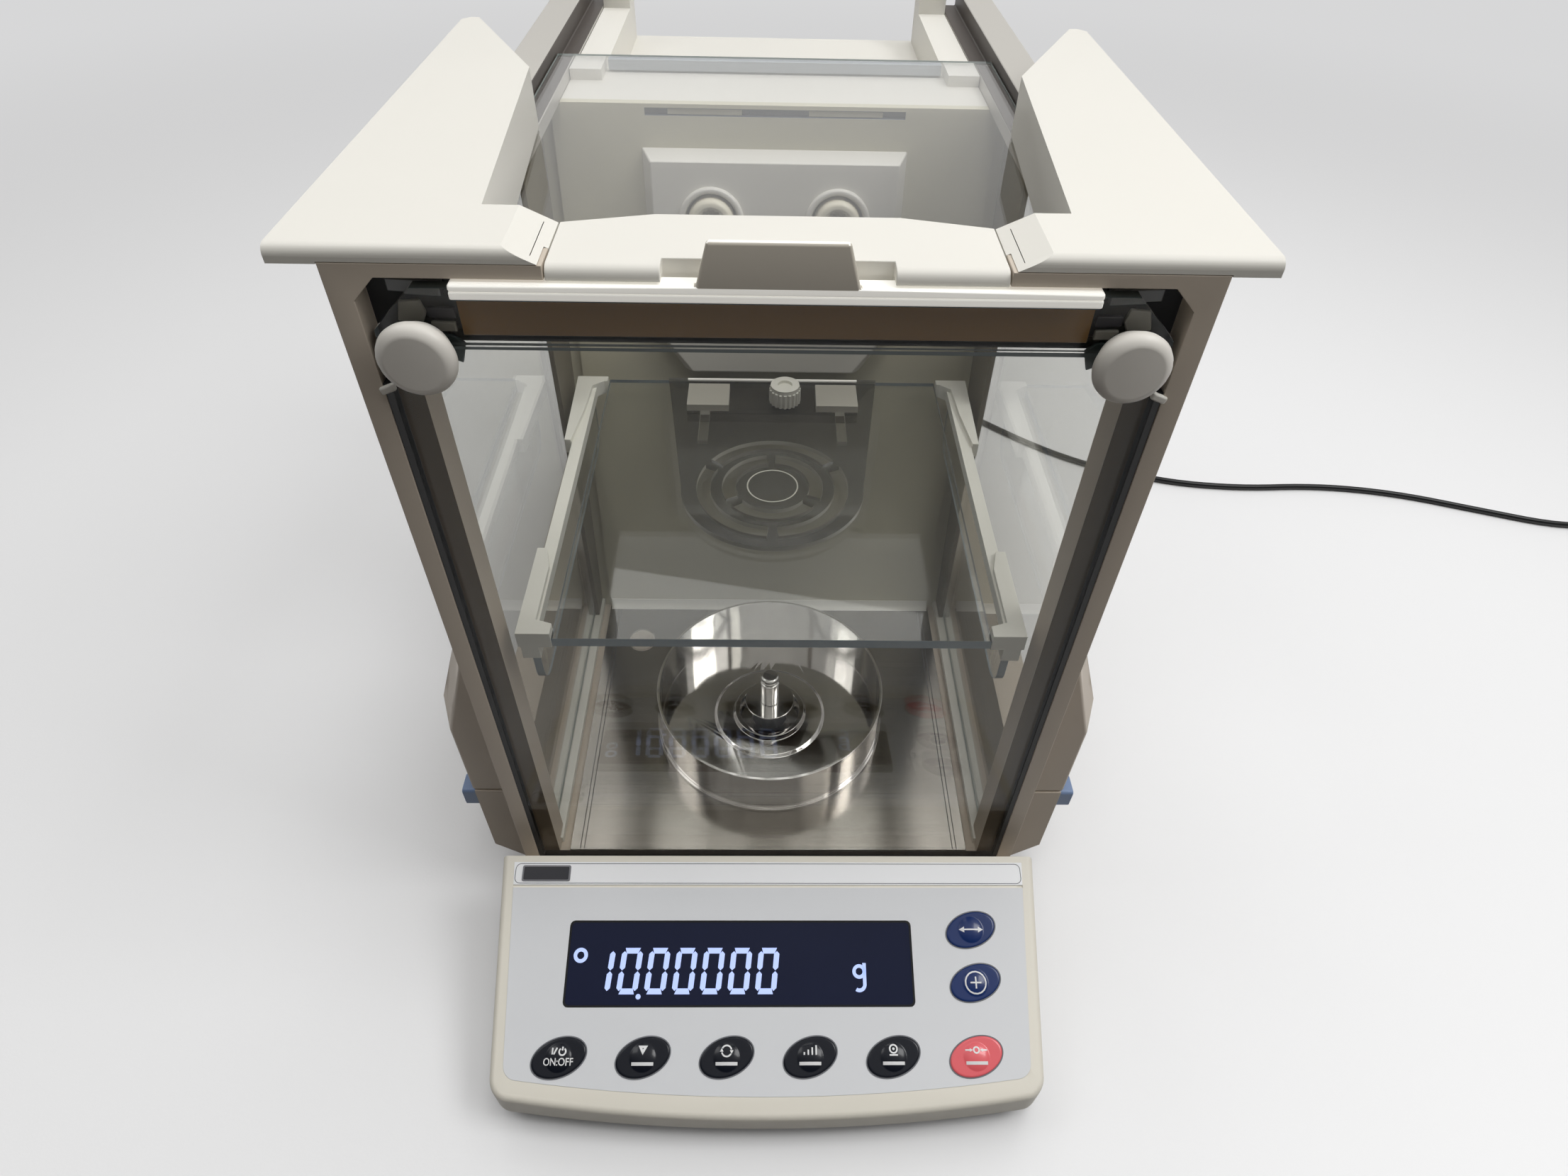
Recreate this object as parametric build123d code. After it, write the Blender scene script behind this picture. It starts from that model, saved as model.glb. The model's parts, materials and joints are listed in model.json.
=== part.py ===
# A microbalance: a glass weighing chamber, a keypad console in front of it, a rear housing with the
# weighing cell, and the supply lead.
# Millimetres. X runs to the right, Y to the back and Z up. The origin is on the table, under the
# middle of the body's outline, and the user faces +Y.
import math
import os

from build123d import *

os.makedirs("parts", exist_ok=True)

# Whole body
body_depth = 466.0
floor_height = 34.0
chamber_height = 262.0
base_half = 131.0
gap = 0.3

# Console
console_slope = 17.3
console_rear_width = 235.5
console_front_width = 222.0
console_side_run = 92.5
console_bow = 8.0
console_back_height = 54.0
console_seam_height = 12.0
console_foot_height = 4.0
console_setback = 12.0
console_wall = 2.5
console_corner = 9.0
console_lip = 1.0
console_edge_round = 3.0
tray_inset = 2.7
tray_lip = 3.0

# Panel sheet, display window and keys, measured down the slope from the console's rear edge
panel_start = 1.7
panel_side_end = 86.0
panel_bow = 6.7
panel_rear_half = 112.2
panel_front_half = 105.8
panel_thickness = 0.7
panel_recess = 0.5
panel_corner = 6.0
header_end = 11.4
header_gap = 1.1
window_width = 145.5
window_height = 33.7
window_left = 12.0
window_down = 43.2
window_thickness = 2.2
key_long = 11.1
key_short = 7.0
key_turn = 18.5
key_pitch = 33.7
key_row_down = 78.6
side_key_long = 10.9
side_key_short = 6.85
side_key_right = 86.6
side_key_down = (30.0, 51.0)
key_proud = 0.9
key_dome_radius = 4.4
key_dome_rise = 0.8
key_flange = 1.0
key_flange_thickness = 0.8
key_stem_radius = 2.5
key_travel = 0.8
switch_radius = 3.0
switch_height = 1.1
board_depth = 6.5
board_thickness = 1.6
board_half = 100.0
board_start = 10.0
board_end = 88.0
board_post_radius = 3.0
board_post_inset = 4.0
board_post_down = (14.0, 66.0)

# Base
base_bottom = 12.0
base_wall = 2.5
deck_half = 113.5
ledge_top = 72.6
ledge_inner = 113.8
ledge_chamfer_height = 15.0
base_plate_thickness = 2.8
base_plate_half = 109.0
foot_radius = 15.0
foot_pad_radius = 12.5
foot_pad_height = 4.0
foot_stud_radius = 4.0
foot_boss_radius = 9.0
foot_x = 88.0
foot_from_rear = 42.0
front_foot_radius = 8.0
front_foot_x = 84.0
front_foot_down = 70.0
screw_head_radius = 3.4
screw_head_height = 1.8
screw_shank_radius = 1.6
screw_length = 10.0
screw_x = 104.0
screw_front = 20.0
screw_middle = 180.0
screw_rear_inset = 14.0
screw_boss_wall = 2.0

# Chamber floor
floor_plate_thickness = 1.5
floor_plate_half = 93.3
ring_distance = 84.0
ring_radius = 57.5
ring_height = 26.0
ring_wall = 1.4
dish_top = 2.4
dish_line = 1.0
collar_rise = 3.4
pan_hole_radius = 9.0
level_x = -72.4
level_distance = 135.8
level_radius = 7.0
pan_radius = 12.6
pan_height = 12.3
pan_thickness = 1.2
support_pin_radius = 1.3
weight_radius = 4.85
weight_height = 19.3

# Front frame, its glass and the thumbscrews
frame_half = 113.5
frame_depth = 10.0
post_depth = 17.0
post_foot = 2.8
post_glass_gap = 0.5
frame_rise = 26.3
beam_rise = 17.5
opening_half = 98.0
seat_half = 107.0
seat_depth = 5.0
seat_rise = 22.5
seat_cut = 6.3
glass_thickness = 4.0
glass_inset = 0.6
front_glass_half = 104.8
front_glass_rise = 19.7
front_glass_corner = 12.0
gasket_drop = 8.0
pocket_inner = 83.0
pocket_below = 11.0
pocket_depth = 8.5
thumbscrew_x = 93.0
thumbscrew_drop = 16.3
thumbscrew_radius = 10.35
thumbscrew_face = 7.9
thumbscrew_foot = 7.4
thumbscrew_head = 9.3
thumbscrew_shaft = 2.4
trim_half = 82.5
trim_height = 2.1
trim_proud = 1.8
tab_bottom_half = 21.0
tab_top_half = 17.5
tab_height = 10.8
tab_thickness = 2.4
tab_lean = 2.2

# Roof: shoulder covers, rails, sliding door
cover_rise = 30.5
cover_skin = 3.0
cover_wing = 4.6
cover_half = 125.8
cover_rear_distance = 208.6
cover_rear_inner = 119.5
cover_inner_rear = (87.5, 144.4)
cover_inner_front = 77.9
cover_arm_inner = 58.5
cover_arm_depth = 26.0
cover_ramp_outer = 68.0
roof_beam_half = 58.2
roof_beam_rise = 26.0
roof_beam_thickness = 3.7
roof_beam_depth = 26.5
roof_beam_bulge = 6.0
roof_beam_round = 3.0
notch_half = 29.5
notch_depth = 6.0
roof_glass_half = 96.5
rail_ledge_height = 6.0
rail_height = 14.0
roof_glass_clear = 0.2
roof_glass_thickness = 3.5
roof_glass_rear = 240.0
rail_inner = 89.5
rail_step = 97.0
rail_outer = 112.0
rail_rear_inset = 2.0
stop_strip_half = 74.0

# Side doors
door_glass_inner = 101.5
door_glass_thickness = 3.0
door_glass_length = 148.0
door_groove_clear = 0.4
floor_rail_inner = 97.0
floor_rail_outer = 108.0
handle_front_half = 131.5
handle_rear_half = 137.5
handle_depth = 16.4
handle_bottom = 39.2
handle_shoulder = 82.5
handle_top = 132.0
handle_top_half = 116.0
handle_rise = 4.0
catch_out = 7.2
catch_length = 10.0
catch_height = 11.0
catch_front = 12.5
catch_bottom = 24.0
catch_travel = 5.0
catch_stem_length = 5.0
catch_stem_height = 4.4

# Rear wall, ioniser and rear housing
wall_foot = 163.0
wall_lean = 0.122
wall_thickness = 4.2
wall_half = 93.3
wall_return_half = 100.7
cheek_front = 152.0
shelf_bracket_half = 40.0
shelf_bracket_front = 150.0
shelf_bracket_height = 5.0
knob_screw_radius = 1.5
cheek_thickness = 2.2
wall_rise = 1.0
slot_half = 54.5
slot_drop = 0.5
slot_height = 2.9
slot_depth = 3.0
bar_height = 2.0
bar_drop = 0.5
bar_length = 31.0
bar_left = -45.0
bar_right = 14.0
ion_drop = 13.5
ion_rise = 8.0
ion_top_half = 56.8
ion_bottom_half = 42.5
ion_waist_rise = 29.0
ion_depth = 8.0
ion_bevel = 4.0
emitter_x = 27.5
emitter_drop = 41.3
emitter_radius = 14.3
emitter_bore = 9.5
housing_half = 95.0
housing_wall = 3.0
ledge_depth = 56.0
platform_drop = 12.0
platform_ramp = 8.0
fin_inner = 75.5
fin_outer = 89.2
fin_top_gap = 0.8
fin_start = 224.0
bracket_length = 18.0
bracket_height = 27.0
fin_gap = 6.0
panel_half = 84.0
panel_low = 10.0
panel_height = 108.0
panel_sheet = 2.0
panel_lip = 3.0
panel_post_radius = 3.0
panel_post_x = (-66.0, 42.0)
panel_post_up = (14.0, 90.0)
main_board_gap = 9.0
main_board_half = 76.0
main_board_inset = 6.0
main_board_height = 92.0

# Shelf inside the chamber
shelf_height = 143.0
shelf_glass_thickness = 4.0
shelf_half = 79.2
shelf_front = 5.4
shelf_rear = 175.0
shelf_rail_inner = 84.4
shelf_rail_outer = 89.4
shelf_rail_rise = 7.0
shelf_side_drop = 26.0
shelf_side_corner = 9.0
shelf_side_front = 3.0
shelf_side_rear = 12.0
shelf_rail_rear = 4.0
clip_outer = 91.4
clip_waist = 85.2
clip_end = 87.7
clip_rear = 50.0
clip_waist_rear = 40.0
clip_waist_front = 12.0
clip_nose_rear = 10.0
clip_lip = 6.0
clip_lip_inner = 84.0
rear_clip_outer = 94.0
rear_clip_front = 121.0
rear_clip_tip = (89.6, 92.4)
rear_clip_hook = 81.0
rear_clip_hook_depth = 4.0
shelf_side_thickness = 3.0
vent_half = 50.4
vent_front_half = 38.7
vent_thickness = 2.0
vent_centre = 91.0
vent_outer_ring = (29.2, 5.8)
vent_inner_ring = (18.5, 5.8)
vent_outer_span = 112
vent_inner_span = 108
clamp_x = 30.0
clamp_size = (19.4, 18.0, 3.4)
clamp_distance = 155.0
vent_slit_x = 31.3
vent_slit_size = (4.4, 23.0)
vent_slit_distance = 134.4
knob_x = 5.8
knob_radius = 7.4
knob_height = 8.9
knob_distance = 154.8

# Weighing cell
lever_bottom = 17.0
lever_height = 6.0
cell_half = 44.0
cell_front = 205.0
cell_rear_gap = 31.0
cell_height = 106.0
magnet_radius = 27.0
magnet_height = 18.0
cal_weight_radius = 7.0
cal_weight_height = 9.0
cal_weight_distance = 188.0

# Supply lead
lead_radius = 2.1
jack_x = 62.0
jack_height = 60.0
jack_half = 7.0
jack_proud = 0.0
plug_radius = 5.2
plug_length = 24.0
relief_length = 16.0
coil_centre = (666.0, 190.0)
coil_turns_per_layer = 3.25
coil_pitch = 4.7
coil_tuck = 1.0
coil_tail = 40.0
coil_mean_radius = 25.0
adapter_size = (66.0, 42.0, 28.0)
pin_radius = 2.0
pin_length = 19.0
pin_spacing = 19.0

# Derived places
slope = math.radians(console_slope)
front_y = -body_depth / 2
rear_y = body_depth / 2
console_run = (console_side_run + console_bow) * math.cos(slope)
console_y = front_y + console_run
glass_y = console_y + console_setback
housing_front = console_y + console_lip
deck_z = floor_height - floor_plate_thickness
ring_y = glass_y + ring_distance
frame_top = chamber_height + frame_rise
beam_top = chamber_height + beam_rise
seat_top = chamber_height + seat_rise
front_glass_top = chamber_height + front_glass_rise
gasket_top = chamber_height - gasket_drop
thumbscrew_height = front_glass_top - thumbscrew_drop
pocket_bottom = thumbscrew_height - pocket_below
cover_top = chamber_height + cover_rise
roof_beam_top = chamber_height + roof_beam_rise
rail_ledge_top = chamber_height + rail_ledge_height
rail_top = chamber_height + rail_height
rail_rear = rear_y - glass_y - rail_rear_inset
roof_glass_bottom = rail_ledge_top + roof_glass_clear
roof_glass_top = roof_glass_bottom + roof_glass_thickness
wall_top = chamber_height + wall_rise
slot_high = chamber_height - slot_drop
slot_low = slot_high - slot_height
ion_top = chamber_height - ion_drop
ion_bottom = shelf_height + ion_rise
emitter_up = chamber_height - emitter_drop
platform_height = chamber_height - platform_drop
ledge_rear = wall_foot + wall_lean * wall_top + wall_thickness + ledge_depth
shelf_top = shelf_height + shelf_glass_thickness
shelf_rail_top = shelf_height + shelf_rail_rise
panel_high = panel_low + panel_height
cell_length = rear_y - glass_y - cell_rear_gap - cell_front
cell_top = base_bottom + cell_height
slope_place = Plane(
    origin=(0, console_y, console_back_height),
    x_dir=(1, 0, 0),
    z_dir=(0, -math.sin(slope), math.cos(slope)),
).location
wall_angle = math.atan(wall_lean)
wall_place = Plane(
    origin=(0, glass_y + wall_foot, floor_height),
    x_dir=(1, 0, 0),
    z_dir=(0, -math.cos(wall_angle), math.sin(wall_angle)),
).location


def block(x, y, z):
    """A box from its two limits along each axis."""
    size = [high - low for low, high in (x, y, z)]
    middle = [(high + low) / 2 for low, high in (x, y, z)]
    return Pos(*middle) * Box(*size)


def chamber(x, y, z):
    """A box with Y counted back from the front glass and Z up from the chamber's floor."""
    return block(x, [glass_y + v for v in y], [floor_height + v for v in z])


def rod(radius, height, x, y, z):
    """An upright cylinder that stands on z."""
    return Pos(x, y, z + height / 2) * Cylinder(radius, height)


def rod_back(radius, length, x, y, z):
    """A cylinder along Y that starts at y."""
    return Pos(x, y + length / 2, z) * Rot(90, 0, 0) * Cylinder(radius, length)


def mirrored(shape):
    """The left-hand twin of a right-hand shape."""
    return mirror(shape, about=Plane.YZ)


def both(shape):
    """A right-hand shape and its left-hand twin."""
    return [shape, mirrored(shape)]


def plan_prism(points, low, high):
    """A prism from plan points: X, and Y counted back from the front glass."""
    outline = Polyline(*[(x, glass_y + y) for x, y in points], close=True)
    return Pos(0, 0, floor_height + low) * extrude(make_face(outline), high - low)


def section_prism(points, start, length):
    """A prism along Y from X and Z points, Z counted up from the chamber's floor."""
    place = Plane(origin=(0, glass_y + start, floor_height), x_dir=(1, 0, 0), z_dir=(0, -1, 0))
    outline = place * make_face(Polyline(*points, close=True))
    return extrude(outline, -length)


def side_prism(points, low_x, high_x):
    """A prism along X from Y and Z points, counted as in chamber()."""
    place = Plane(origin=(low_x, glass_y, floor_height), x_dir=(0, 1, 0), z_dir=(1, 0, 0))
    outline = place * make_face(Polyline(*points, close=True))
    return extrude(outline, high_x - low_x)


def turned(points, x, y, z):
    """A solid of revolution about an upright axis from radius and height points."""
    outline = make_face(Polyline(*points, close=True))
    return Pos(x, y, z) * revolve(Plane.XZ * outline, Axis.Z)


def turned_back(points, x, y, z):
    """A solid of revolution about an axis along Y, its points running towards +Y."""
    outline = make_face(Polyline(*points, close=True))
    return Pos(x, y, z) * Rot(-90, 0, 0) * revolve(Plane.XZ * outline, Axis.Z)


# Console

def console_face(inset):
    """The console's plan: straight sides that narrow to the front, and a bowed front edge."""
    side_y = console_y - console_side_run * math.cos(slope)
    rear = console_rear_width / 2
    front = console_front_width / 2
    corners = [(-front, side_y), (-rear, housing_front), (rear, housing_front), (front, side_y)]
    edges = Polyline(*corners)
    bow = ThreePointArc((front, side_y), (0, front_y), (-front, side_y))
    face = make_face([*edges.edges(), bow])
    face = fillet(face.vertices().sort_by(Axis.Y)[:2], console_corner)
    return offset(face, -inset) if inset else face


def under_slope(face, bottom, depth):
    """The face raised from bottom to a plane that lies depth under the console's slope."""
    column = Pos(0, 0, bottom) * extrude(face, console_back_height)
    cutter = slope_place * Pos(0, -50, 50 - depth) * Box(400, 400, 100)
    return column - cutter


def panel_face(start, side_end, bow):
    """An outline on the slope, X across and Y up it, between two distances down it."""
    run = panel_side_end - panel_start
    taper = (panel_rear_half - panel_front_half) / run
    rear = panel_rear_half - taper * (start - panel_start)
    front = panel_rear_half - taper * (side_end - panel_start)
    corners = [(-front, -side_end), (-rear, -start), (rear, -start), (front, -side_end)]
    if bow:
        arc = ThreePointArc(corners[3], (0, -side_end - bow), corners[0])
        face = make_face([*Polyline(*corners).edges(), arc])
        return fillet(face.vertices().sort_by(Axis.Y)[:2], panel_corner)
    return make_face(Polyline(*corners, close=True))


def key_outline(long, short, grow):
    return Rot(0, 0, key_turn) * Ellipse(long + grow, short + grow)


def key_places():
    """Each key's name, its place on the slope and its half axes."""
    names = ["key_power", "key_calibrate", "key_mode", "key_range", "key_print", "key_zero"]
    first = -2.5 * key_pitch
    places = [
        (name, first + key_pitch * i, -key_row_down, key_long, key_short)
        for i, name in enumerate(names)
    ]
    for name, down in zip(("key_select", "key_ioniser"), side_key_down):
        places.append((name, side_key_right, -down, side_key_long, side_key_short))
    return places


def window_hole(grow, top, depth):
    return (
        slope_place
        * Pos(-window_left, -window_down, top - depth / 2)
        * Box(window_width + 2 * grow, window_height + 2 * grow, depth)
    )


def console_top():
    body = under_slope(console_face(0), console_seam_height, 0)
    lid = body.faces().sort_by(Axis.Z)[-1]
    body = fillet(lid.edges().sort_by(Axis.Y)[:-1], console_edge_round)
    body -= under_slope(console_face(console_wall), console_seam_height - 1, console_wall)
    recess = panel_face(panel_start, panel_side_end, panel_bow)
    body -= slope_place * Pos(0, 0, -panel_recess) * extrude(recess, 5)
    for x in (-board_half + board_post_inset, board_half - board_post_inset):
        for down in board_post_down:
            post = Cylinder(board_post_radius, board_depth - console_wall + 0.5)
            height = (console_wall - 0.5 + board_depth) / 2
            body += slope_place * Pos(x, -down, -height) * post
    body -= window_hole(0.1, 5, 12)
    for _, x, y, long, short in key_places():
        hole = extrude(key_outline(long, short, gap), 12)
        body -= slope_place * Pos(x, y, -6) * hole
    return body


def console_bottom():
    tray = Pos(0, 0, console_foot_height) * extrude(
        console_face(tray_inset), console_seam_height + tray_lip - console_foot_height
    )
    hollow = Pos(0, 0, console_foot_height + console_wall) * extrude(
        console_face(tray_inset + console_wall), console_back_height
    )
    return tray - hollow


def panel_overlay():
    """The header strip and the main sheet."""
    low = panel_thickness - panel_recess
    header = extrude(panel_face(panel_start, header_end, 0), panel_thickness)
    main = extrude(
        panel_face(header_end + header_gap, panel_side_end, panel_bow), panel_thickness
    )
    sheets = []
    for sheet in (header, main):
        sheet = slope_place * Pos(0, 0, low - panel_thickness) * sheet
        sheet -= window_hole(0.1, 5, 12)
        for _, x, y, long, short in key_places():
            hole = extrude(key_outline(long, short, gap), 12)
            sheet -= slope_place * Pos(x, y, -6) * hole
        sheets.append(sheet)
    return sheets


def display_window():
    return window_hole(0, panel_thickness - panel_recess, window_thickness)


def display_board():
    """The board under the panel, with the display module and a switch under each key."""
    middle = (board_start + board_end) / 2
    board = Pos(0, -middle, -board_depth - board_thickness / 2) * Box(
        2 * board_half, board_end - board_start, board_thickness
    )
    glass_back = window_thickness - (panel_thickness - panel_recess)
    module_height = board_depth - glass_back
    board += Pos(-window_left, -window_down, -glass_back - module_height / 2) * Box(
        window_width - 2, window_height - 2, module_height
    )
    for _, x, y, _, _ in key_places():
        board += Pos(x, y, -board_depth + switch_height / 2) * Cylinder(switch_radius, switch_height)
    return slope_place * board


def key(x, y, long, short):
    """A slanted oval key with a round dome, a retaining flange and a stem over its switch."""
    flange_top = -console_wall - gap
    cap_bottom = flange_top - key_flange_thickness
    cap = Pos(0, 0, cap_bottom) * extrude(key_outline(long, short, 0), key_proud - cap_bottom)
    cap = fillet(cap.edges().group_by(Axis.Z)[-1], key_proud * 0.8)
    flange = Pos(0, 0, cap_bottom) * extrude(key_outline(long, short, key_flange), key_flange_thickness)
    ball = (key_dome_radius**2 + key_dome_rise**2) / (2 * key_dome_rise)
    dome = Pos(0, 0, key_proud + key_dome_rise - ball) * Sphere(ball)
    dome &= Pos(0, 0, key_proud) * Cylinder(key_dome_radius, 2 * key_dome_rise)
    stem_bottom = -board_depth + switch_height + key_travel + gap
    stem_height = cap_bottom - stem_bottom
    stem = Pos(0, 0, cap_bottom - stem_height / 2) * Cylinder(key_stem_radius, stem_height)
    return slope_place * Pos(x, y, 0) * (cap + flange + dome + stem)


def front_feet():
    feet_y = console_y - front_foot_down
    return both(rod(front_foot_radius, console_foot_height, front_foot_x, feet_y, 0))


# Base

def base_housing():
    """The base shell: a hollow deck with a hollow ledge along each side, open underneath."""
    ledge_y = glass_y + frame_depth + gap
    body = block((-deck_half, deck_half), (housing_front, rear_y), (base_bottom, deck_z))
    body -= block(
        (-deck_half + base_wall, deck_half - base_wall),
        (housing_front + base_wall, rear_y - base_wall),
        (base_bottom - 1, deck_z - base_wall),
    )
    section = [
        (deck_half, base_bottom),
        (base_half, base_bottom + ledge_chamfer_height),
        (base_half, ledge_top),
        (ledge_inner, ledge_top),
        (ledge_inner, deck_z),
        (deck_half, deck_z),
    ]
    place = Plane(origin=(0, rear_y, 0), x_dir=(1, 0, 0), z_dir=(0, -1, 0))
    ledge = extrude(place * make_face(Polyline(*section, close=True)), rear_y - ledge_y)
    ledge -= block(
        (ledge_inner + base_wall, base_half - base_wall),
        (ledge_y + base_wall, rear_y - base_wall),
        (base_bottom + ledge_chamfer_height, ledge_top - base_wall),
    )
    slot_front = glass_y + catch_front + (catch_length - catch_stem_length) / 2 - gap
    slot_low = floor_height + catch_bottom + (catch_height - catch_stem_height) / 2 - gap
    ledge -= block(
        (base_half - base_wall - 1, base_half + 1),
        (slot_front, slot_front + catch_stem_length + catch_travel + 2 * gap),
        (slot_low, slot_low + catch_stem_height + 2 * gap),
    )
    body += ledge
    body += mirrored(ledge)
    foot_y = rear_y - foot_from_rear
    for x in (-foot_x, foot_x):
        body += rod(foot_boss_radius, deck_z - base_bottom, x, foot_y, base_bottom)
        body -= rod(foot_stud_radius + gap, deck_z - base_bottom - base_wall, x, foot_y, base_bottom)
    for x, y in base_screw_places():
        body += rod(screw_shank_radius + screw_boss_wall, deck_z - base_bottom, x, y, base_bottom)
        body -= rod(screw_shank_radius, screw_length, x, y, base_bottom)
    body -= rod(pan_hole_radius, 3 * base_wall, 0, ring_y, deck_z - 2 * base_wall)
    body -= chamber(
        (-cell_half - 4, cell_half + 4),
        (cal_weight_distance - 15, cell_front + cell_length + 4),
        (-8, 1),
    )
    return body


def base_screw_places():
    y_places = (glass_y + screw_front, glass_y + screw_middle, rear_y - screw_rear_inset)
    return [(x, y) for y in y_places for x in (-screw_x, screw_x)]


def base_plate():
    low = base_bottom - base_plate_thickness
    plate = block(
        (-base_plate_half, base_plate_half),
        (console_y + 4, rear_y - 4),
        (low, base_bottom),
    )
    for x in (-foot_x, foot_x):
        plate -= rod(
            foot_stud_radius + gap, 2 * base_plate_thickness, x, rear_y - foot_from_rear, low - 1
        )
    for x, y in base_screw_places():
        plate -= rod(screw_shank_radius, 2 * base_plate_thickness, x, y, low - 1)
    return plate


def base_screws():
    screws = []
    low = base_bottom - base_plate_thickness
    for x, y in base_screw_places():
        screw = rod(screw_head_radius, screw_head_height, x, y, low - screw_head_height)
        screw += rod(screw_shank_radius, screw_length, x, y, low)
        screws.append(screw)
    return screws


def levelling_foot(x):
    wheel_top = base_bottom - base_plate_thickness - gap
    y = rear_y - foot_from_rear
    foot = rod(foot_pad_radius, foot_pad_height, x, y, 0)
    foot += rod(foot_radius, wheel_top - foot_pad_height, x, y, foot_pad_height)
    foot += rod(foot_stud_radius, deck_z - base_wall - gap - wheel_top, x, y, wheel_top)
    return foot


def floor_plate():
    plate = chamber(
        (-floor_plate_half, floor_plate_half),
        (seat_depth + gap, wall_foot - 1),
        (-floor_plate_thickness, 0),
    )
    plate -= rod(pan_hole_radius, 6, 0, ring_y, deck_z - 3)
    plate -= rod(level_radius + 0.2, 6, level_x, glass_y + level_distance, deck_z - 3)
    return plate


def spirit_level():
    return rod(level_radius, floor_plate_thickness + 1.2, level_x, glass_y + level_distance, deck_z)


def draft_ring():
    """A turned dish: tall rim with a hemmed foot, a stepped floor and a collar round the pan."""
    outer = ring_radius
    inner = ring_radius - ring_wall
    profile = [
        (outer, 0.1),
        (outer + 1.1, 0.1),
        (outer + 1.1, 2.0),
        (outer, 2.0),
        (outer, ring_height),
        (inner, ring_height),
        (inner, dish_top),
        (29.0, dish_top),
        (27.5, dish_top + dish_line),
        (19.0, dish_top + dish_line),
        (18.0, dish_top + collar_rise),
        (15.6, dish_top + collar_rise),
        (15.6, dish_top + collar_rise - 1.1),
        (16.8, dish_top + collar_rise - 1.1),
        (17.8, dish_top + dish_line - 1.2),
        (27.0, dish_top + dish_line - 1.2),
        (28.4, dish_top - 1.2),
        (inner, dish_top - 1.2),
        (inner, 0.1),
    ]
    return turned(profile, 0, ring_y, floor_height)


def weighing_pan():
    profile = [
        (support_pin_radius + gap, 5.0),
        (3.2, 5.0),
        (3.2, pan_height - 1.2),
        (pan_radius - 1.0, pan_height),
        (pan_radius, pan_height + 0.5),
        (pan_radius, pan_height + pan_thickness),
        (0, pan_height + pan_thickness),
        (0, pan_height - 0.4),
        (support_pin_radius + gap, pan_height - 0.4),
    ]
    return turned(profile, 0, ring_y, floor_height)


def reference_weight():
    """A polished cylinder with a turned neck and a flat button on top."""
    r = weight_radius
    h = weight_height
    profile = [
        (0, 0.1),
        (r - 0.4, 0.1),
        (r, 0.5),
        (r, h - 5.0),
        (r - 0.5, h - 4.5),
        (r - 1.5, h - 4.2),
        (r - 1.5, h - 3.0),
        (r - 0.4, h - 2.6),
        (r - 0.1, h - 1.6),
        (r - 0.5, h - 0.5),
        (r - 1.2, h),
        (0, h),
    ]
    return turned(profile, 0, ring_y, floor_height + pan_height + pan_thickness)


# Front frame

def pocket_outline():
    """A pocket behind the glass's upper corner, its outer top corner cut away."""
    return [
        (pocket_inner, pocket_bottom),
        (seat_half, pocket_bottom),
        (seat_half, seat_top - seat_cut),
        (seat_half - seat_cut, seat_top),
        (pocket_inner, seat_top),
    ]


def front_frame():
    top = frame_top
    frame = chamber((-frame_half, frame_half), (0, frame_depth), (-floor_plate_thickness, top))
    frame -= chamber((-opening_half, opening_half), (-1, 30), (-3, chamber_height))
    seat = [
        (-seat_half, -3),
        (seat_half, -3),
        (seat_half, seat_top - seat_cut),
        (seat_half - seat_cut, seat_top),
        (-seat_half + seat_cut, seat_top),
        (-seat_half, seat_top - seat_cut),
    ]
    frame -= section_prism(seat, -1, seat_depth + 1)
    frame += both(
        chamber(
            (opening_half, door_glass_inner - post_glass_gap),
            (frame_depth, post_depth),
            (post_foot, chamber_height),
        )
    )
    inner = cover_arm_inner
    frame -= chamber((-inner, inner), (-1, 30), (beam_top, top + 1))
    pocket = section_prism(pocket_outline(), -1, pocket_depth + 1)
    boss = rod_back(
        5.0,
        pocket_depth - seat_depth,
        thumbscrew_x,
        glass_y + seat_depth,
        floor_height + thumbscrew_height,
    )
    bore = rod_back(
        thumbscrew_shaft + gap,
        frame_depth,
        thumbscrew_x,
        glass_y,
        floor_height + thumbscrew_height,
    )
    for cut, add, hole in ((pocket, boss, bore), (mirrored(pocket), mirrored(boss), mirrored(bore))):
        frame = frame - cut + add - hole
    return frame


def front_glass():
    half = front_glass_half
    cut = front_glass_corner
    outline = [
        (-half, gap),
        (half, gap),
        (half, front_glass_top - cut),
        (half - cut, front_glass_top),
        (-half + cut, front_glass_top),
        (-half, front_glass_top - cut),
    ]
    glass = section_prism(outline, glass_inset, glass_thickness)
    hole = rod_back(
        thumbscrew_shaft + 0.5,
        2 * glass_thickness,
        thumbscrew_x,
        glass_y - 1,
        floor_height + thumbscrew_height,
    )
    return glass - hole - mirrored(hole)


def front_gasket():
    """The rubber strip up both sides of the glass and under it."""
    depth = (gap, seat_depth)
    strip = chamber((-seat_half, seat_half), depth, (-floor_plate_thickness, gasket_top))
    return strip - chamber((-front_glass_half, front_glass_half), (-1, 20), (gap, gasket_top + 1))


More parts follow.
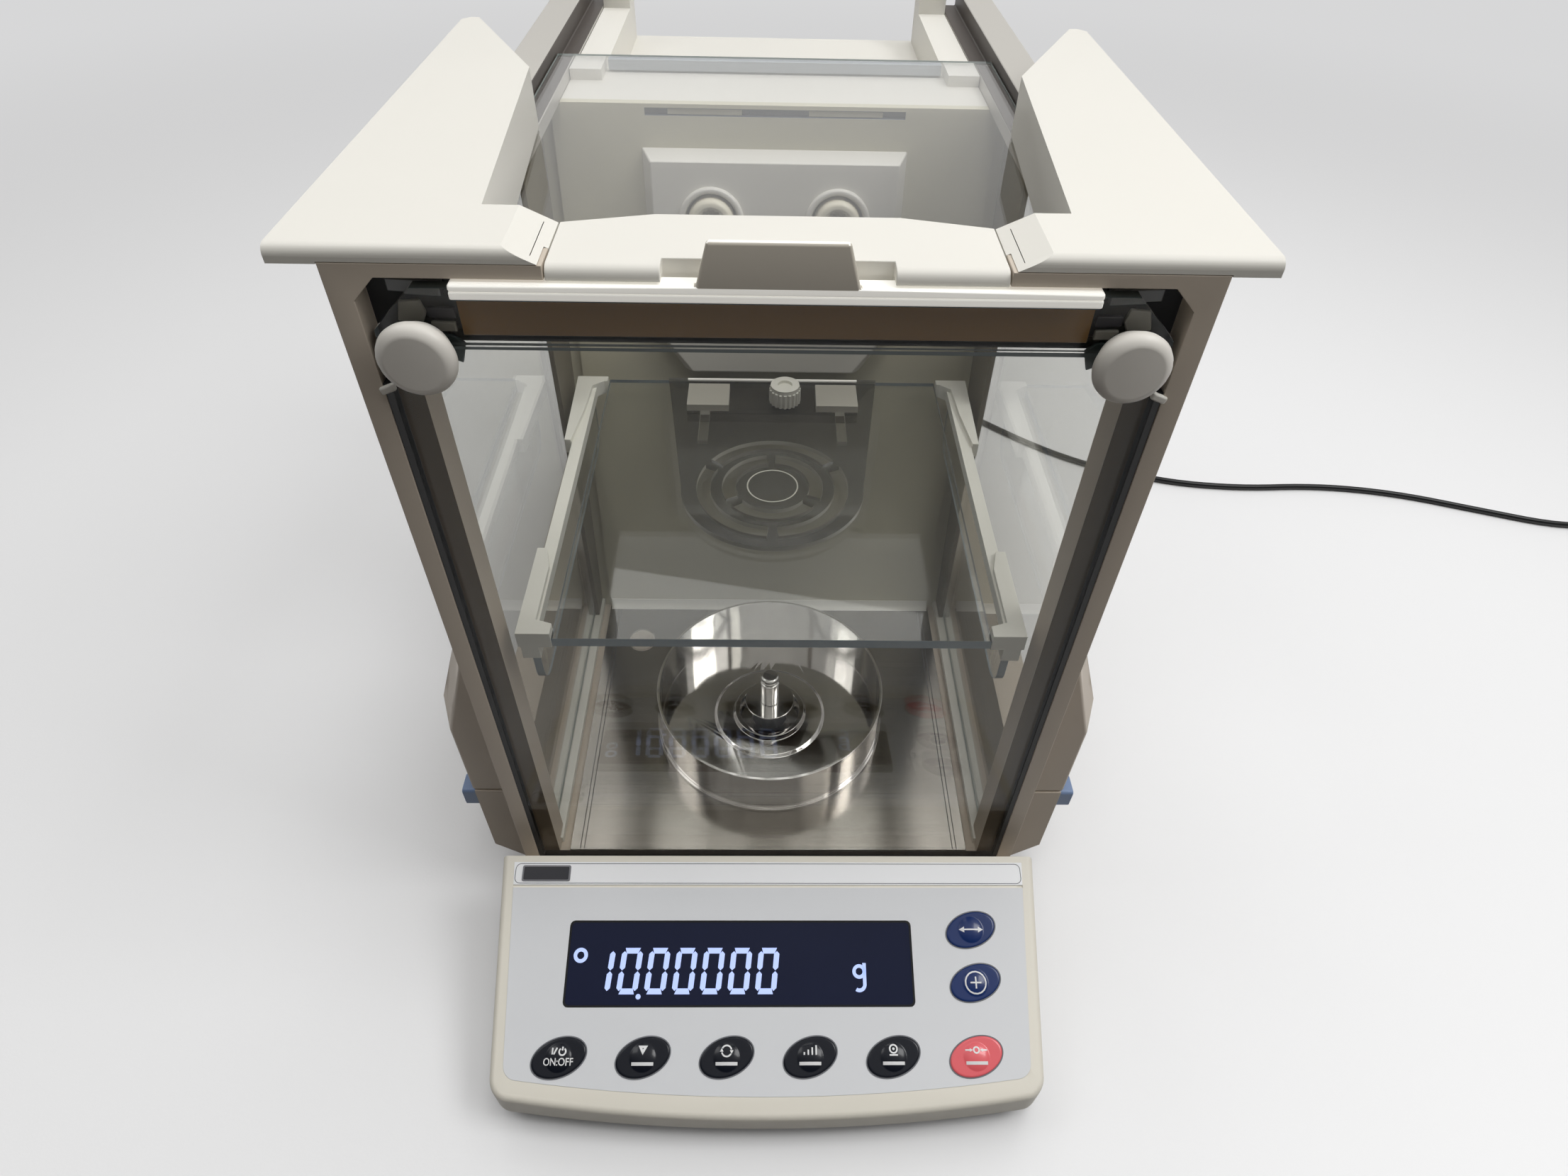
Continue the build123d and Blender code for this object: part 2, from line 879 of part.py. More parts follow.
def glass_trim():
    """The strip on the glass's top edge and its upright grip tab."""
    top = front_glass_top + trim_height
    strip = chamber(
        (-trim_half, trim_half), (-trim_proud, seat_depth - 0.2), (front_glass_top, top)
    )
    tab_side = [
        (-trim_proud, top),
        (-trim_proud + tab_thickness, top),
        (-trim_proud + tab_thickness + tab_lean, top + tab_height),
        (-trim_proud + tab_lean + 0.3, top + tab_height),
    ]
    tab = side_prism(tab_side, -tab_bottom_half, tab_bottom_half)
    tab_front = [
        (-tab_bottom_half, top - 1),
        (tab_bottom_half, top - 1),
        (tab_top_half, top + tab_height + 1),
        (-tab_top_half, top + tab_height + 1),
    ]
    return strip + (tab & section_prism(tab_front, -20, 40))


def thumbscrew():
    """A round knob with a shaft that runs through the glass into the frame."""
    back = glass_inset - gap
    r = thumbscrew_radius
    profile = [
        (0, -thumbscrew_head),
        (thumbscrew_face, -thumbscrew_head),
        (r - 1.1, -thumbscrew_head + 0.8),
        (r - 0.2, -thumbscrew_head + 2.0),
        (r, -thumbscrew_head + 3.2),
        (r - 0.3, -thumbscrew_head + 4.4),
        (thumbscrew_foot, 0),
        (thumbscrew_shaft, 0),
        (thumbscrew_shaft, frame_depth - back - 1.5),
        (0, frame_depth - back - 1.5),
    ]
    height = floor_height + thumbscrew_height
    return turned_back(profile, thumbscrew_x, glass_y + back, height)


# Roof

def cover_outline():
    """The right shoulder cover's plan, from the front corner round to the arm's end."""
    return [
        (cover_half, 0),
        (cover_half, cover_rear_distance - 3),
        (cover_half - 3, cover_rear_distance),
        (cover_rear_inner, cover_rear_distance),
        cover_inner_rear,
        (cover_inner_front, cover_arm_depth),
        (cover_arm_inner, cover_arm_depth),
        (cover_arm_inner, 0),
    ]


def shoulder_cover():
    """A hollow cover on the roof rail and the frame, with a ramp inside and a thin wing outside."""
    low = roof_glass_top + 0.8
    shell = plan_prism(cover_outline(), low, cover_top)
    front_edge = shell.edges().filter_by(Axis.X).sort_by(Axis.Z)[-4:]
    front_edge = [e for e in front_edge if e.center().Y < glass_y + 1]
    shell = fillet(front_edge, cover_skin - 0.2)
    face = make_face(Polyline(*[(x, glass_y + y) for x, y in cover_outline()], close=True))
    hollow = offset(face, -cover_skin, kind=Kind.INTERSECTION)
    hollow = Pos(0, 0, floor_height + low - 1) * extrude(hollow, cover_top - cover_skin - low + 1)
    shell -= hollow & chamber((0, frame_half - cover_skin), (0, rail_rear), (low - 1, cover_top))
    shell -= chamber(
        (frame_half, cover_half + 1), (-1, cover_rear_distance + 1), (low - 1, cover_top - cover_wing)
    )
    ramp = [
        (cover_arm_inner - 1, roof_beam_top),
        (cover_arm_inner, roof_beam_top),
        (cover_ramp_outer, cover_top),
        (cover_ramp_outer, cover_top + 5),
        (cover_arm_inner - 1, cover_top + 5),
    ]
    shell -= section_prism(ramp, -5, cover_arm_depth + 10)
    shell -= chamber((0, frame_half + 0.1), (-1, frame_depth + gap), (0, frame_top + 0.2))
    shell -= chamber((0, rail_outer), (frame_depth, rail_rear), (0, roof_glass_top + 0.8))
    shell -= chamber((rail_step - gap, rail_outer), (frame_depth, rail_rear), (0, rail_top))
    return shell


def roof_beam():
    """The sliding roof's front beam, with a finger notch, and the stop strip at its rear edge."""
    under = roof_beam_top - roof_beam_thickness
    bulge = roof_beam_depth + roof_beam_bulge
    outline = [
        (-roof_beam_half, 0),
        (roof_beam_half, 0),
        (roof_beam_half, roof_beam_depth),
        (notch_half + 4, bulge),
        (-notch_half - 4, bulge),
        (-roof_beam_half, roof_beam_depth),
    ]
    beam = plan_prism(outline, under, roof_beam_top)
    front_edge = [
        e
        for e in beam.edges().filter_by(Axis.X).group_by(Axis.Z)[-1]
        if e.center().Y < glass_y + 1
    ]
    beam = fillet(front_edge, roof_beam_round)
    beam += chamber((-roof_beam_half, roof_beam_half), (seat_depth + 0.4, 9), (beam_top + 0.5, under))
    beam += chamber((-roof_beam_half, roof_beam_half), (13, roof_beam_depth), (roof_glass_top, under))
    beam -= chamber((-notch_half, notch_half), (-1, notch_depth), (beam_top, roof_beam_top + 1))
    strip = chamber(
        (-stop_strip_half, stop_strip_half),
        (roof_glass_rear - 4, roof_glass_rear),
        (wall_top + 0.8, roof_glass_bottom),
    )
    return [beam, strip]


def roof_glass():
    return chamber(
        (-roof_glass_half, roof_glass_half),
        (frame_depth + 0.8, roof_glass_rear),
        (roof_glass_bottom, roof_glass_top),
    )


def roof_rail():
    """The right roof rail: a ledge for the roof glass and a groove for the side door's top edge."""
    section = [
        (rail_inner, chamber_height),
        (rail_outer, chamber_height),
        (rail_outer, rail_top),
        (rail_step, rail_top),
        (rail_step, rail_ledge_top),
        (rail_inner, rail_ledge_top),
    ]
    rail = section_prism(section, frame_depth, rail_rear - frame_depth)
    return rail - door_groove(chamber_height - 1, chamber_height + 4)


def door_groove(low, high):
    inner = door_glass_inner - door_groove_clear
    outer = door_glass_inner + door_glass_thickness + door_groove_clear
    return chamber((inner, outer), (frame_depth - 1, rail_rear + 1), (low, high))


# Side doors

def floor_rail():
    low = -floor_plate_thickness
    rail = chamber((floor_rail_inner, floor_rail_outer), (frame_depth, rail_rear), (low, 2.5))
    return rail - door_groove(0.9, 5)


def door_glass():
    return chamber(
        (door_glass_inner, door_glass_inner + door_glass_thickness),
        (frame_depth + 0.6, frame_depth + 0.6 + door_glass_length),
        (0.9 + door_groove_clear, chamber_height + 4 - door_groove_clear),
    )


def door_handle():
    """A wedge grip on the door's outer face: wider at the back, with a sloping top."""
    inner = door_glass_inner + door_glass_thickness
    start = frame_depth + 0.6

    def outline(y, half, rise):
        points = [
            (inner, handle_bottom),
            (half, handle_bottom),
            (half, handle_shoulder + rise),
            (handle_top_half + rise, handle_top + rise),
            (inner, handle_top + rise),
        ]
        place = Plane(origin=(0, glass_y + y, floor_height), x_dir=(1, 0, 0), z_dir=(0, -1, 0))
        return place * make_face(Polyline(*points, close=True))

    front = outline(start, handle_front_half, 0)
    rear = outline(start + handle_depth, handle_rear_half, handle_rise)
    return loft([front, rear], ruled=True)


def door_catch():
    """A small sliding catch on the base ledge, just under the door handle."""
    head = chamber(
        (base_half + gap, base_half + catch_out),
        (catch_front, catch_front + catch_length),
        (catch_bottom, catch_bottom + catch_height),
    )
    head = fillet(head.edges().filter_by(Axis.X), 1.6)
    stem_y = catch_front + (catch_length - catch_stem_length) / 2
    stem_z = catch_bottom + (catch_height - catch_stem_height) / 2
    return head + chamber(
        (base_half - 4.5, base_half + gap + 0.5),
        (stem_y, stem_y + catch_stem_length),
        (stem_z, stem_z + catch_stem_height),
    )


# Rear of the chamber

def wall_y(z):
    """The leaning rear wall's front face, counted back from the front glass, at a height."""
    return wall_foot + wall_lean * z


def leaning(front, back, low, high, half):
    """A slab between two offsets behind the rear wall's front face."""
    points = [
        (wall_y(low) + front, low),
        (wall_y(high) + front, high),
        (wall_y(high) + back, high),
        (wall_y(low) + back, low),
    ]
    return side_prism(points, -half, half)


def rear_wall():
    """The chamber's leaning back wall, with the slot and two bars at its top and a shelf bracket."""
    low = -floor_plate_thickness
    wall = leaning(0, wall_thickness, low, wall_top, wall_half)
    wall += leaning(2, wall_thickness, low, wall_top, wall_return_half)
    cheek_side = [
        (cheek_front, 0),
        (cheek_front, chamber_height),
        (wall_y(chamber_height) + 3, chamber_height),
        (wall_y(0) + 3, 0),
    ]
    cheek = side_prism(cheek_side, wall_return_half - cheek_thickness, wall_return_half)
    wall = wall + cheek + mirrored(cheek)
    for side in (-1, 1):
        x = sorted((side * (rail_inner - 0.2), side * (wall_return_half + 1)))
        wall -= chamber(x, (0, rail_rear), (chamber_height - 0.2, wall_top + 1))
        x = sorted((side * (floor_rail_inner - 0.2), side * (wall_return_half + 1)))
        wall -= chamber(x, (0, rail_rear), (low - 1, 2.7))
    wall -= leaning(-1, slot_depth, slot_low, slot_high, slot_half)
    bar_top = slot_high - bar_drop
    for x in (bar_left, bar_right):
        bar = leaning(0.8, slot_depth + 0.1, bar_top - bar_height, bar_top, slot_half)
        wall += bar & chamber((x, x + bar_length), (0, rail_rear), (slot_low, slot_high))
    bracket_top = shelf_height
    bracket = chamber(
        (-shelf_bracket_half, shelf_bracket_half),
        (shelf_bracket_front, wall_y(bracket_top) + 3),
        (bracket_top - shelf_bracket_height, bracket_top),
    )
    bracket -= rod(
        knob_screw_radius + gap,
        4 * shelf_bracket_height,
        knob_x,
        glass_y + knob_distance,
        floor_height + bracket_top - 2 * shelf_bracket_height,
    )
    return wall + bracket


def ioniser_cover():
    """A raised plate on the rear wall, drawn in at the bottom, with a bevel and two round holes."""
    waist = shelf_height + ion_waist_rise

    def outline(grow):
        return make_face(
            Polyline(
                (-ion_bottom_half - grow, ion_bottom - grow / 2),
                (ion_bottom_half + grow, ion_bottom - grow / 2),
                (ion_top_half + grow, waist),
                (ion_top_half + grow, ion_top + grow),
                (-ion_top_half - grow, ion_top + grow),
                (-ion_top_half - grow, waist),
                close=True,
            )
        )

    plate = loft([outline(0), Pos(0, 0, ion_depth) * outline(-ion_bevel)], ruled=True)
    for x in (-emitter_x, emitter_x):
        plate -= Pos(x, emitter_up, ion_depth) * Cylinder(emitter_radius - 2.2, 4 * ion_depth)
    return wall_place * plate


def ioniser_emitters():
    """Two round emitters: a flange on the cover and a short nozzle with a recessed needle seat."""
    r = emitter_radius
    profile = [
        (r - 2.4, 0.2),
        (r - 2.4, ion_depth),
        (r, ion_depth),
        (r, ion_depth + 1.6),
        (r - 0.8, ion_depth + 2.4),
        (emitter_bore + 1.6, ion_depth + 2.4),
        (emitter_bore + 0.6, ion_depth + 0.4),
        (emitter_bore - 1.2, ion_depth + 4.5),
        (emitter_bore - 4.0, ion_depth + 4.5),
        (emitter_bore - 4.6, 3.0),
        (0, 3.0),
        (0, 0.2),
    ]
    outline = make_face(Polyline(*profile, close=True))
    emitter = revolve(Plane.XZ * outline, Axis.Z)
    return [wall_place * Pos(x, emitter_up, 0) * emitter for x in (-emitter_x, emitter_x)]


def housing_outline(inset):
    """The rear housing's side view: leaning front, a ledge under the roof glass, a lower platform."""
    low = -floor_plate_thickness
    front_low = wall_y(low) + wall_thickness + inset
    front_high = wall_y(wall_top) + wall_thickness + inset
    rear = rear_y - glass_y - inset
    return [
        (front_low, low - inset * 0.34),
        (front_high, wall_top - inset),
        (ledge_rear - inset * 0.5, wall_top - inset),
        (ledge_rear + platform_ramp - inset * 0.5, platform_height - inset),
        (rear, platform_height - inset),
        (rear, low - inset * 0.34),
    ]


def rear_housing():
    """The shell over the weighing cell, with side fins and the brackets that carry the roof rails."""
    body = side_prism(housing_outline(0), -housing_half, housing_half)
    inner = housing_half - housing_wall
    body -= side_prism(housing_outline(housing_wall), -inner, inner)
    rear = rear_y - glass_y
    body -= chamber((-panel_half, panel_half), (rear - 5, rear + 1), (panel_low, panel_high))
    body -= chamber(
        (-panel_half - panel_lip, panel_half + panel_lip),
        (rear - panel_sheet, rear + 1),
        (panel_low - panel_lip, panel_high + panel_lip),
    )
    fin = chamber(
        (fin_inner, fin_outer),
        (fin_start, rear - fin_gap),
        (platform_height - 1, roof_glass_bottom - fin_top_gap),
    )
    fin += chamber(
        (fin_inner, fin_outer),
        (rail_rear - bracket_length, rail_rear),
        (platform_height - 1, rail_top),
    )
    bracket = chamber(
        (housing_half - 4, rail_outer),
        (rail_rear - bracket_length, rail_rear),
        (chamber_height - bracket_height, chamber_height),
    )
    body = body + fin + mirrored(fin) + bracket + mirrored(bracket)
    rail_room = chamber(
        (rail_inner - 0.2, rail_outer + 1), (0, rail_rear + 3), (chamber_height, rail_top)
    )
    return body - rail_room - mirrored(rail_room)


def rear_panel():
    rear = rear_y - glass_y
    lip = panel_lip - 0.1
    half = panel_half + lip
    plate = chamber((-half, half), (rear - panel_sheet, rear), (panel_low - lip, panel_high + lip))
    plate -= block(
        (jack_x - jack_half, jack_x + jack_half),
        (rear_y - 9, rear_y + 1),
        (jack_height - jack_half, jack_height + jack_half),
    )
    for x in panel_post_x:
        for up in panel_post_up:
            length = main_board_gap - panel_sheet
            height = floor_height + panel_low + up
            plate += rod_back(panel_post_radius, length, x, rear_y - main_board_gap, height)
    return plate


def main_board():
    rear = rear_y - glass_y - main_board_gap
    low = panel_low + main_board_inset
    board = chamber(
        (-main_board_half, main_board_half),
        (rear - board_thickness, rear),
        (low, low + main_board_height),
    )
    return board - block(
        (jack_x - jack_half - 1, jack_x + jack_half + 1),
        (rear_y - 20, rear_y),
        (jack_height - jack_half - 1, jack_height + jack_half + 1),
    )


# Shelf

def shelf_glasses():
    """The level glass shelf and the glass that hangs from each of its side rails."""
    shelf = chamber(
        (-shelf_half, shelf_half),
        (shelf_front, shelf_rear),
        (shelf_height, shelf_height + shelf_glass_thickness),
    )
    shelf -= rod(2.2, 20, knob_x, glass_y + knob_distance, floor_height + shelf_height - 5)
    middle = (shelf_rail_inner + shelf_rail_outer) / 2
    low = shelf_height - shelf_side_drop
    side = chamber(
        (middle - shelf_side_thickness / 2, middle + shelf_side_thickness / 2),
        (shelf_front + shelf_side_front, shelf_rear - shelf_side_rear),
        (low, shelf_height),
    )
    corner = side.edges().filter_by(Axis.X).group_by(Axis.Z)[0]
    side = fillet(corner, shelf_side_corner)
    return [shelf, *both(side)]


def shelf_rail():
    """The right shelf rail: a slim bar with a broad clip at each end that grips the shelf glass."""
    low = shelf_height
    top = shelf_rail_top
    rail = chamber(
        (shelf_rail_inner, shelf_rail_outer),
        (shelf_front, shelf_rear - shelf_rail_rear),
        (low, top - 2),
    )
    clip_front = glass_inset + glass_thickness + gap
    front_clip = [
        (shelf_half, clip_front),
        (clip_outer, clip_front),
        (clip_outer, clip_rear),
        (clip_end, clip_rear),
        (clip_waist, clip_waist_rear),
        (clip_waist, clip_waist_front),
        (shelf_half, clip_nose_rear),
    ]
    hook_rear = shelf_rear - shelf_rail_rear / 2
    hook_front = hook_rear - rear_clip_hook_depth
    rear_clip = [
        (shelf_half + 0.2, hook_front),
        (rear_clip_hook, hook_front),
        (shelf_rail_inner + 1.6, hook_front - rear_clip_hook_depth),
        (shelf_rail_inner + 2.6, hook_front - 6 * rear_clip_hook_depth),
        (rear_clip_tip[0], rear_clip_front),
        (rear_clip_tip[1], rear_clip_front),
        (rear_clip_outer, hook_rear),
        (shelf_half + 0.2, hook_rear),
    ]
    lip = [
        (clip_lip_inner, clip_front),
        (clip_outer - 0.9, clip_front),
        (clip_outer - 0.9, clip_nose_rear),
        (clip_lip_inner, clip_nose_rear),
    ]
    rail += plan_prism(front_clip, low, top)
    rail += plan_prism(rear_clip, low, top)
    rail += plan_prism(lip, low - clip_lip, low)
    middle = (shelf_rail_inner + shelf_rail_outer) / 2
    slot = chamber(
        (middle - shelf_side_thickness / 2, middle + shelf_side_thickness / 2),
        (shelf_front + shelf_side_front, shelf_rear - shelf_side_rear),
        (low - 3 * clip_lip, low),
    )
    return rail - slot


def vent_slots(radius, width, starts, sweep_angle):
    """Arc slots of one ring about the vent's centre."""
    slots = []
    for start in starts:
        outer = CenterArc((0, 0), radius + width / 2, start, sweep_angle)
        inner = CenterArc((0, 0), radius - width / 2, start, sweep_angle)
        ends = [
            Line(outer @ 0, inner @ 0),
            Line(outer @ 1, inner @ 1),
        ]
        slots.append(make_face([outer, inner, *ends]))
    return slots


def shelf_vent_plate():
    """A clear plate with a half-round front, two rings of arc slots and two clamp blocks."""
    top = shelf_top
    back = shelf_rear - 1 - vent_centre
    half = vent_front_half
    sides = Polyline((-half, 0), (-vent_half, back), (vent_half, back), (half, 0))
    front = ThreePointArc((half, 0), (0, -half), (-half, 0))
    plate = extrude(make_face([*sides.edges(), front]), vent_thickness)
    slots = vent_slots(*vent_outer_ring, (-86, 34, 154), vent_outer_span)
    slots += vent_slots(*vent_inner_ring, (-22, 97, 216), vent_inner_span)
    for slot in slots:
        plate -= Pos(0, 0, -1) * extrude(slot, vent_thickness + 2)
    for side in (-1, 1):
        clamp_z = vent_thickness + clamp_size[2] / 2
        plate += Pos(side * clamp_x, clamp_distance - vent_centre, clamp_z) * Box(*clamp_size)
        slit = Box(*vent_slit_size, 3 * vent_thickness)
        plate -= Pos(side * vent_slit_x, vent_slit_distance - vent_centre, 0) * slit
    plate -= Pos(knob_x, knob_distance - vent_centre, 0) * Cylinder(2.2, 20)
    return Pos(0, glass_y + vent_centre, floor_height + top) * plate


def shelf_knob():
    """A ribbed knob on a screw that clamps the vent plate and the shelf to the wall bracket."""
    low = shelf_top + vent_thickness + gap
    y = glass_y + knob_distance
    knob = rod(knob_radius - 0.7, knob_height, knob_x, y, floor_height + low)
    for i in range(20):
        turn = i * 2 * math.pi / 20
        x = knob_x + (knob_radius - 0.7) * math.cos(turn)
        knob += rod(0.7, knob_height - 2, x, y + (knob_radius - 0.7) * math.sin(turn), floor_height + low)
    knob -= rod(3.4, 2, knob_x, y, floor_height + low + knob_height - 1.5)
    screw_low = shelf_height - 4
    return knob + rod(knob_screw_radius, low - screw_low, knob_x, y, floor_height + screw_low)


# Weighing cell

def weighing_lever():
    """The lever under the chamber floor, with the upright pin that carries the pan."""
    cell_y = cell_front + 40
    lever = block(
        (-5, 5),
        (ring_y - 8, glass_y + cell_y),
        (lever_bottom, lever_bottom + lever_height),
    )
    top = lever_bottom + lever_height
    pin_top = floor_height + pan_height - 0.6
    lever += rod(4.0, floor_height + 2 - top, 0, ring_y, top)
    lever += rod(support_pin_radius, pin_top - floor_height - 2, 0, ring_y, floor_height + 2)
    return lever


def weighing_cell():
    """The force cell: a block on the base plate with a slot for the lever and a magnet on top."""
    cell = block(
        (-cell_half, cell_half),
        (glass_y + cell_front, glass_y + cell_front + cell_length),
        (base_bottom, cell_top),
    )
    cell -= block(
        (-8, 8),
        (glass_y + cell_front - 1, glass_y + cell_front + 40),
        (lever_bottom - 3, lever_bottom + lever_height + 3),
    )
    cell += rod(magnet_radius, magnet_height, 0, glass_y + cell_front + cell_length / 2, cell_top)
    cell = fillet(cell.edges().filter_by(Axis.Z).filter_by(lambda e: e.length > 60), 6)
    return cell


def calibration_weight():
    low = lever_bottom + lever_height + gap
    y = glass_y + cal_weight_distance
    weight = rod(cal_weight_radius, cal_weight_height, 0, y, low)
    return weight - rod(2.0, cal_weight_height, 0, y, low + cal_weight_height / 2)


# Supply lead

def power_jack():
    jack = block(
        (jack_x - jack_half, jack_x + jack_half),
        (rear_y - 15, rear_y + jack_proud),
        (jack_height - jack_half, jack_height + jack_half),
    )
    return jack - rod_back(2.9, 12, jack_x, rear_y + jack_proud - 10.5, jack_height)


def dc_plug():
    """The lead's plug: barrel, round body and tapered strain relief."""
    r = plug_radius
    profile = [
        (0, -9.5),
        (2.75, -9.5),
        (2.75, 0),
        (r, 0),
        (r + 0.4, 2),
        (r, plug_length - 3),
        (r - 1.2, plug_length),
        (lead_radius + 1.0, plug_length + 2),
        (lead_radius + 0.5, plug_length + relief_length),
        (0, plug_length + relief_length),
    ]
    return turned_back(profile, jack_x, rear_y + jack_proud, jack_height)


lead_exit = (jack_x, rear_y + jack_proud + plug_length + relief_length, jack_height)
coil_outer = coil_mean_radius + coil_turns_per_layer * coil_pitch / 2
coil_start_x = coil_centre[0] - 2 * lead_radius
coil_low = coil_centre[1] - coil_outer

# The lead's route along the table, from the plug to the coil
lead_route = [
    lead_exit,
    (jack_x, 292.0, jack_height),
    (65.0, 313.0, 49.0),
    (73.0, 329.0, 27.0),
    (90.0, 338.0, 7.0),
    (119.0, 331.0, lead_radius),
    (152.0, 301.0, lead_radius),
    (186.0, 266.0, lead_radius),
    (232.0, 229.0, lead_radius),
    (290.0, 203.0, lead_radius),
    (350.0, 195.0, lead_radius),
    (409.0, 199.0, lead_radius),
    (466.0, 191.0, lead_radius),
    (520.0, 172.0, lead_radius),
    (571.0, 154.0, lead_radius),
    (620.0, coil_low, lead_radius),
    (coil_start_x, coil_low, lead_radius),
]


def route_radii(points):
    """The largest bend radius that each corner's two runs allow."""
    radii = []
    for before, here, after in zip(points, points[1:], points[2:]):
        a = Vector(*here) - Vector(*before)
        b = Vector(*after) - Vector(*here)
        half_turn = math.radians(a.get_angle(b)) / 2
        radii.append(0.45 * min(a.length, b.length) / math.tan(half_turn))
    return radii


def supply_lead():
    radii = route_radii(lead_route)
    path = FilletPolyline(*lead_route, radius=radii)
    start = Plane(origin=path @ 0, z_dir=path % 0)
    tube = sweep(start * Circle(lead_radius), path=path)
    expected = math.pi * lead_radius**2 * path.length
    print("lead radii", [round(r) for r in radii])
    print("lead length", round(path.length, 1), "volume ratio", round(tube.volume / expected, 4))
    return tube


def coil_point(turn):
    """A point of the coil's centre line and its direction, at a number of turns from its start."""
    layer_turns = coil_turns_per_layer
    inner = coil_outer - layer_turns * coil_pitch
    climb = 0.5
    if turn <= layer_turns:
        radius = coil_outer - coil_pitch * turn
        rise = 0.0
        slide = -coil_pitch
        lift = 0.0
    elif turn < layer_turns + climb:
        part = (turn - layer_turns) / climb
        radius = inner - coil_tuck * math.sin(math.pi * part)
        rise = coil_pitch * (1 - math.cos(math.pi * part)) / 2
        slide = -coil_tuck * math.pi / climb * math.cos(math.pi * part)
        lift = coil_pitch * math.pi / 2 * math.sin(math.pi * part) / climb
    else:
        radius = inner + coil_pitch * (turn - layer_turns - climb)
        rise = coil_pitch
        slide = coil_pitch
        lift = 0.0
    angle = 2 * math.pi * turn - math.pi / 2
    point = Vector(
        coil_centre[0] + radius * math.cos(angle),
        coil_centre[1] + radius * math.sin(angle),
        lead_radius + rise,
    )
    along = 2 * math.pi * radius
    direction = Vector(
        slide * math.cos(angle) - along * math.sin(angle),
        slide * math.sin(angle) + along * math.cos(angle),
        lift,
    )
    return point, direction.normalized()


def arc_along(start, direction, end, backwards=False):
    """An arc that leaves start along a direction; backwards, its order is turned round."""
    chord = end - start
    along = chord.normalized()
    side = direction - along * direction.dot(along)
    half_turn = math.radians(direction.get_angle(chord)) / 2
    peak = (start + end) * 0.5 + side.normalized() * (chord.length / 2 * math.tan(half_turn))
    return ThreePointArc(end, peak, start) if backwards else ThreePointArc(start, peak, end)


def biarc(start, start_dir, end, end_dir):
    """Two arcs that leave start along start_dir and reach end along end_dir."""
    chord = end - start
    both_ways = start_dir + end_dir
    a = 2 * (1 - start_dir.dot(end_dir))
    b = 2 * chord.dot(both_ways)
    c = -chord.dot(chord)
    reach = (-b + math.sqrt(b * b - 4 * a * c)) / (2 * a)
    middle = (start + start_dir * reach + end - end_dir * reach) * 0.5
    return [
        arc_along(start, start_dir, middle),
        arc_along(end, end_dir * -1, middle, backwards=True),
    ]


def cord_coil():
    """The put-away lead: two layers of loops, spiralling in below and out again on top."""
    turns = 2 * coil_turns_per_layer + 0.5
    steps = round(turns * 4)
    stations = [coil_point(turns * i / steps) for i in range(steps + 1)]
    first_point = Vector(coil_start_x, coil_low, lead_radius)
    edges = [Line(first_point, stations[0][0])]
    stations[0] = (stations[0][0], Vector(1, 0, 0))
    stations[-1] = (stations[-1][0], Vector(1, 0, 0))
    for (p, d), (q, e) in zip(stations, stations[1:]):
        edges += biarc(p, d, q, e)
    last, last_dir = stations[-1]
    end = last + last_dir * coil_tail
    edges.append(Line(last, end))
    path = Wire([part for edge in edges for part in edge.edges()])
    start = Plane(origin=first_point, z_dir=(1, 0, 0))
    tube = sweep(start * Circle(lead_radius), path=path)
    expected = math.pi * lead_radius**2 * path.length
    print("coil length", round(path.length, 1), "volume ratio", round(tube.volume / expected, 4))
    print("coil least gap", round(coil_least_gap(turns), 2))
    return tube, end


def coil_least_gap(turns):
    """The least distance between the tube's surfaces of turns that lie beside each other."""
    count = 900
    points = [coil_point(turns * i / count)[0] for i in range(count + 1)]
    apart = round(count / turns * 0.55)
    least = min(
        (points[i] - points[j]).length
        for i in range(0, count + 1, 2)
        for j in range(i + apart, count + 1, 2)
    )
    return least - 2 * lead_radius


def ac_adapter(end):
    """The supply's adapter: a rounded case with a cable gland, its pins on the far side."""
    length, width, height = adapter_size
    place = Pos(end.X, end.Y, 0)
    gland_length = 9.0
    case = Pos(gland_length + length / 2, 0, height / 2) * Box(length, width, height)
    case = fillet(case.edges().filter_by(Axis.Z), 5)
    case = fillet(case.edges().group_by(Axis.Z)[-1], 2)
    gland = Pos(0, 0, end.Z) * Rot(0, 90, 0) * Cone(
        lead_radius + 0.6, lead_radius + 2.0, gland_length + 1, align=(Align.CENTER, Align.CENTER, Align.MIN)
    )
    pins = [
        Pos(gland_length + length + pin_length / 2, y, height / 2)
        * Rot(0, 90, 0)
        * Cylinder(pin_radius, pin_length)
        for y in (-pin_spacing / 2, pin_spacing / 2)
    ]
    return place * (case + gland + pins[0] + pins[1])


def export(name, shapes):
    """Write one sub-part, as one solid or as a group of separate solids."""
    if isinstance(shapes, (list, tuple)):
        shapes = Compound(children=[s.solids()[0] for s in shapes])
    export_step(shapes, f"parts/{name}.step")


